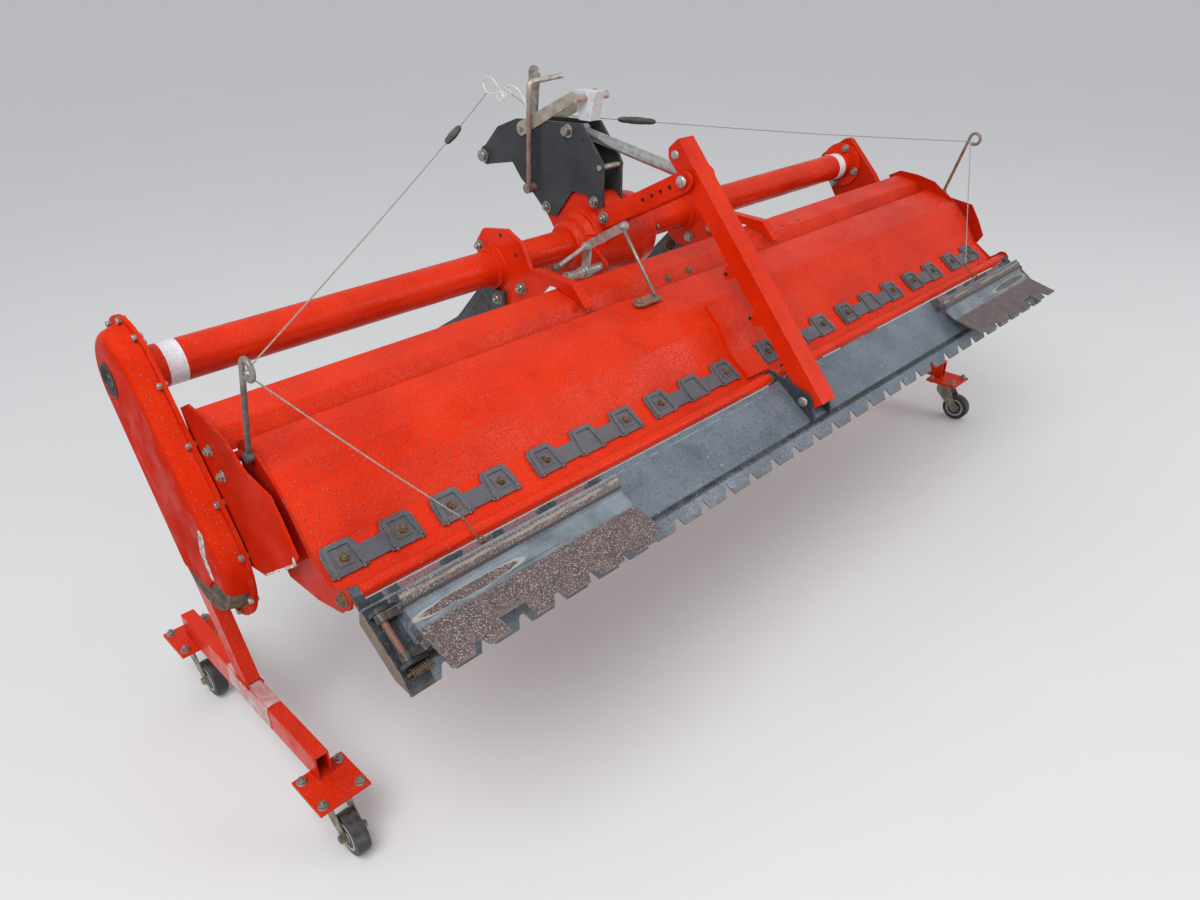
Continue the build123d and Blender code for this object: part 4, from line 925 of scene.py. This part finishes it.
bolt(tab, TAB + mm(-24, 0, 5), UP, 0.4, 12, washer=8, stud=2)
tab.make("linkage_tab", "apron", rod_rust)
link_rod = Shape()
rod_top, rod_foot = mm(-150, -50, 790), TAB + mm(24, 2, 8)
link_rod.tube([rod_top, rod_top.lerp(rod_foot, 0.5), rod_foot], 3.6, 10)
piece = link_rod.piece("linkage_rod", zinc_dull)
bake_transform(piece)

# Casters: hub, axle nuts and swivel race, and the bolts through the stands' pads
HUB = ((26.5, -0.5), (26.5, 0.6), (25, 1.2), (23, 1.2), (21, -0.2), (12, -0.2), (10.5, 1.6), (7, 1.8),
       (5.6, 1.2))
RACE = ((20, 0), (24.6, 0.6), (25.4, 3), (25.4, 6), (24.6, 7.4), (20, 7.8))
PAD_REACH = 33
stand_bolts = Shape()
for side_name, x in zip(("left", "right"), STAND_X):
    for end, y in (("rear", CASTER_REAR), ("front", CASTER_FRONT)):
        name, axle = f"{end}_{side_name}", (y - 42, 37.5)
        hub, nuts, race = Shape(), Shape(), Shape()
        for side in (LEFT, RIGHT):
            hub.lathe(HUB, facing(mm(x + 12.5 * side.x, *axle), side), 30)
            bolt(nuts, mm(x + 18 * side.x, *axle), side, 0.2, 13, washer=8.5, head=5)
        race.lathe(RACE, facing(mm(x, y, 99.5), UP), 36)
        hub.make(f"caster_hub_{name}", f"caster_wheel_{name}", hub_grey)
        nuts.make(f"caster_nuts_{name}", f"caster_fork_{name}", yellow_zinc)
        race.make(f"caster_race_{name}", f"caster_fork_{name}", yellow_zinc)
        for dx in (-PAD_REACH, PAD_REACH):
            for dy in (-PAD_REACH, PAD_REACH):
                bolt(stand_bolts, mm(x + dx, y + dy, 118), UP, dx + dy + x, 13, washer=9, head=6, stud=4)
                bolt(stand_bolts, mm(x + dx, y + dy, 112), -UP, dx, 13, head=5)
stand_bolts.make("stand_pad_bolts", "frame", bolt_steel)

# Plastic film round the left base tube, a little slack and wrinkled
FILM_WIDTH, FILM_STEPS = 150, 32
film = Shape()
loops = []
for k in range(FILM_STEPS + 1):
    loop = []
    for a in around(36):
        wide, tall = 13.7 + 0.35 * sin(4 * a + k * 0.35), 26.3 + 0.5 * sin(3 * a + k * 0.3)
        reach = 1 / max(abs(cos(a)), abs(sin(a)), 0.78)
        loop.append(mm(STAND_X[0] + wide * cos(a) * reach, 62 - FILM_WIDTH * k / FILM_STEPS,
                       143 + tall * sin(a) * reach))
    loops.append(loop)
film.rings(loops, closed_ends=False)
film.make("stand_film", "frame", wrap_material())

ROPE_RADIUS, ROPE_LAY = 1.25, 0.022


def rope(name, points):
    """Three twisted strands along a smooth line through points in metres."""
    line = curve_through(points, 10)
    fine = []
    for a, b in zip(line, line[1:]):
        count = max(1, int((b - a).length / 0.0035))
        fine += [a.lerp(b, i / count) for i in range(count)]
    fine.append(line[-1])
    side = (fine[1] - fine[0]).normalized().orthogonal().normalized()
    length, frames = 0, []
    for i, point in enumerate(fine):
        before, after = fine[max(i - 1, 0)], fine[min(i + 1, len(fine) - 1)]
        tangent = (after - before).normalized()
        side = (side - side.dot(tangent) * tangent).normalized()
        length += (point - before).length
        frames.append((point, side.copy(), tangent.cross(side), length))
    shape = Shape()
    for start in around(3):
        path = []
        for point, u, v, at in frames:
            a = start + at / ROPE_LAY * 2 * pi
            path.append(point + (u * cos(a) + v * sin(a)) * ROPE_RADIUS * 0.48 / 1000)
        shape.tube(path, ROPE_RADIUS * 0.56, 5)
    piece = shape.piece(name, cord_grey)
    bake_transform(piece)


# Ropes: over the mast, through each pigtail ring, down to a hook on the leveler
COIL_X = -62
COIL_YZ = (
    (316, 951), (331, 974), (346, 997), (359, 1009), (372, 1013), (384, 1009), (387, 1002), (381, 994),
    (375, 991), (372, 997), (380, 1002), (390, 1004), (402, 1003), (408, 996), (405, 988), (398, 983),
    (392, 987), (396, 993), (411, 995), (421, 993), (426, 986), (420, 979), (411, 975), (410, 982),
    (413, 988), (417, 996), (422, 1007), (433, 1020), (450, 1025), (469, 1020), (478, 1009), (472, 997),
    (457, 990), (437, 989), (424, 994))
coil = Shape()
coil.tube(curve_through([mm(COIL_X + 3.5 * sin(1.1 * k), *at) for k, at in enumerate(COIL_YZ)], 7), 1.8)
coil.make("rope_coil", "frame", wire_pale, 80)
coil_end = mm(COIL_X, 462, 991)
ring_left, ring_right = mm(-1017, -217, 810), mm(1017, -217, 810)
hook_left, hook_right = mm(-806, -352, 551), mm(806, -352, 551)
LEFT_SAG = ((0.1, 0.004), (0.24, 0.006), (0.6, 0.006))
left_run = [coil_end.lerp(ring_left, share) - UP * sag for share, sag in LEFT_SAG]
rope("rope_left_upper", [coil_end, *left_run, ring_left])
right_run = [mm(*p) for p in ((COIL_X + 2, 378, 992), (-62, 352, 985), (-52, 330, 968), (-30, 303, 954),
                              (4, 288, 951), (40, 271, 944), (200, 194, 920), (600, -9, 862))]
rope("rope_right_upper", [*right_run, ring_right])
for side, ring_at, hook_at in (("left", ring_left, hook_left), ("right", ring_right, hook_right)):
    rope(f"rope_{side}_lower", [ring_at, ring_at.lerp(hook_at, 0.55) - UP * 0.004, hook_at])

# Rubber grips on the ropes
GRIP = ((0, 2.2), (0.03, 4.6), (0.1, 6.4), (0.18, 7.2), (0.24, 6.6), (0.3, 7.6), (0.5, 8.4), (0.7, 7.6),
        (0.76, 6.6), (0.82, 7.2), (0.9, 6.4), (0.97, 4.6), (1, 2.2))
for side, a, b, drop in (("left", coil_end.lerp(ring_left, 0.19), coil_end.lerp(ring_left, 0.27), 0.006),
                         ("right", mm(128, 229, 931), mm(212, 188, 919), 0)):
    grip = Shape()
    length = (b - a).length * 1000
    grip.lathe([(radius, share * length) for share, radius in GRIP], facing(a - UP * drop, b - a), 20)
    grip.make(f"rope_grip_{side}", "frame", grip_black)

# At the leveler: hooks at the ropes' lower ends, the wire eyes they hold, springs by the rakes' brackets
SPRING_TURNS, SPRING_RADIUS, SPRING_STEPS = 9, 0.0065, 16
for side, sign, at in (("left", -1, hook_left), ("right", 1, hook_right)):
    hook = Shape()
    seat = on_leveler(sign * 800, 22, 13.4)
    bend = [seat + LEVELER_UP * lift + RIGHT * out * sign
            for lift, out in ((0.004, 0.004), (0.002, -0.006), (0.009, -0.011))]
    hook.tube(curve_through([at, at.lerp(seat, 0.5), *bend], 6), 1.5)
    hook.lathe(((2.6, -5), (3.2, -4), (3.2, 4), (2.6, 5)), facing(at, at - seat), 12)
    hook.make(f"rope_hook_{side}", "leveler", bolt_rust)
    eye = Shape()
    eye.tube([seat + LEVELER_DOWN * 0.009 * cos(a) + (LEVELER_UP * 0.007 + RIGHT * 0.002) * (sin(a) + 0.1)
              for a in around(24)], 1.3, joined=True)
    eye.make(f"hook_eye_{side}", "leveler", bolt_rust)
    spring = Shape()
    path = []
    for k in range(SPRING_TURNS * SPRING_STEPS + 1):
        a = 2 * pi * k / SPRING_STEPS
        centre = on_leveler(sign * (966 + 30 * k / (SPRING_TURNS * SPRING_STEPS)), 133, 13.5)
        path.append(centre + LEVELER_UP * SPRING_RADIUS * sin(a) + LEVELER_DOWN * SPRING_RADIUS * cos(a))
    spring.tube(path, 1.1, 7)
    spring.tube([on_leveler(sign * 960, 133, 13.5), on_leveler(sign * 1000, 133, 13.5)], 2.6, 10)
    spring.make(f"hinge_spring_{side}", "leveler", bolt_rust, 70)

# Floor, lamps and sky
FLOOR_HALF = 150
floor_mesh = bpy.data.meshes.new("floor")
floor_corners = [(x * FLOOR_HALF, y * FLOOR_HALF, 0) for x, y in ((-1, -1), (1, -1), (1, 1), (-1, 1))]
floor_mesh.from_pydata(floor_corners, [], [(0, 1, 2, 3)])
floor = show("floor", floor_mesh)
g = Graph("floor_pale")
g.colour = g.mix(g.noise(2, 3), (0.7, 0.7, 0.69), (0.73, 0.73, 0.72))
floor_mesh.materials.append(g.finish(0.8, g.bump(g.noise(60, 4), 0.0005, 0.3), specular=0.2))
world = bpy.data.worlds.new("sky")
world.use_nodes = True
scene.world = world
add_node, link = world.node_tree.nodes.new, world.node_tree.links.new
background = world.node_tree.nodes["Background"]
background.inputs["Color"].default_value = (0.93, 0.95, 1, 1)
background.inputs["Strength"].default_value = 0.72
# Seen straight or in a reflection, the sky has the tone of the distant floor, so that no horizon shows
seen = add_node("ShaderNodeBackground")
seen.inputs["Color"].default_value = (0.491, 0.503, 0.521, 1)
light_path = add_node("ShaderNodeLightPath")
seen_by = light_path.outputs["Is Camera Ray"]
for ray in ("Is Glossy Ray", "Is Transmission Ray"):
    either = add_node("ShaderNodeMath")
    either.operation = "MAXIMUM"
    link(seen_by, either.inputs[0])
    link(light_path.outputs[ray], either.inputs[1])
    seen_by = either.outputs[0]
choice = add_node("ShaderNodeMixShader")
for socket, value in enumerate((seen_by, background.outputs[0], seen.outputs[0])):
    link(value, choice.inputs[socket])
link(choice.outputs[0], world.node_tree.nodes["World Output"].inputs[0])
for name, place, target, size, power in (
    ("key", (-2.6, -1.2, 3.6), (0, 0, 0.5), 2.6, 95),
    ("fill", (2.4, -3.2, 2.4), (0, 0, 0.4), 2.4, 32),
):
    lamp = bpy.data.lights.new(name, "AREA")
    lamp.shape = "DISK"
    lamp.size = size
    lamp.energy = power
    show(name, lamp).matrix_world = facing(Vector(place), Vector(place) - Vector(target))
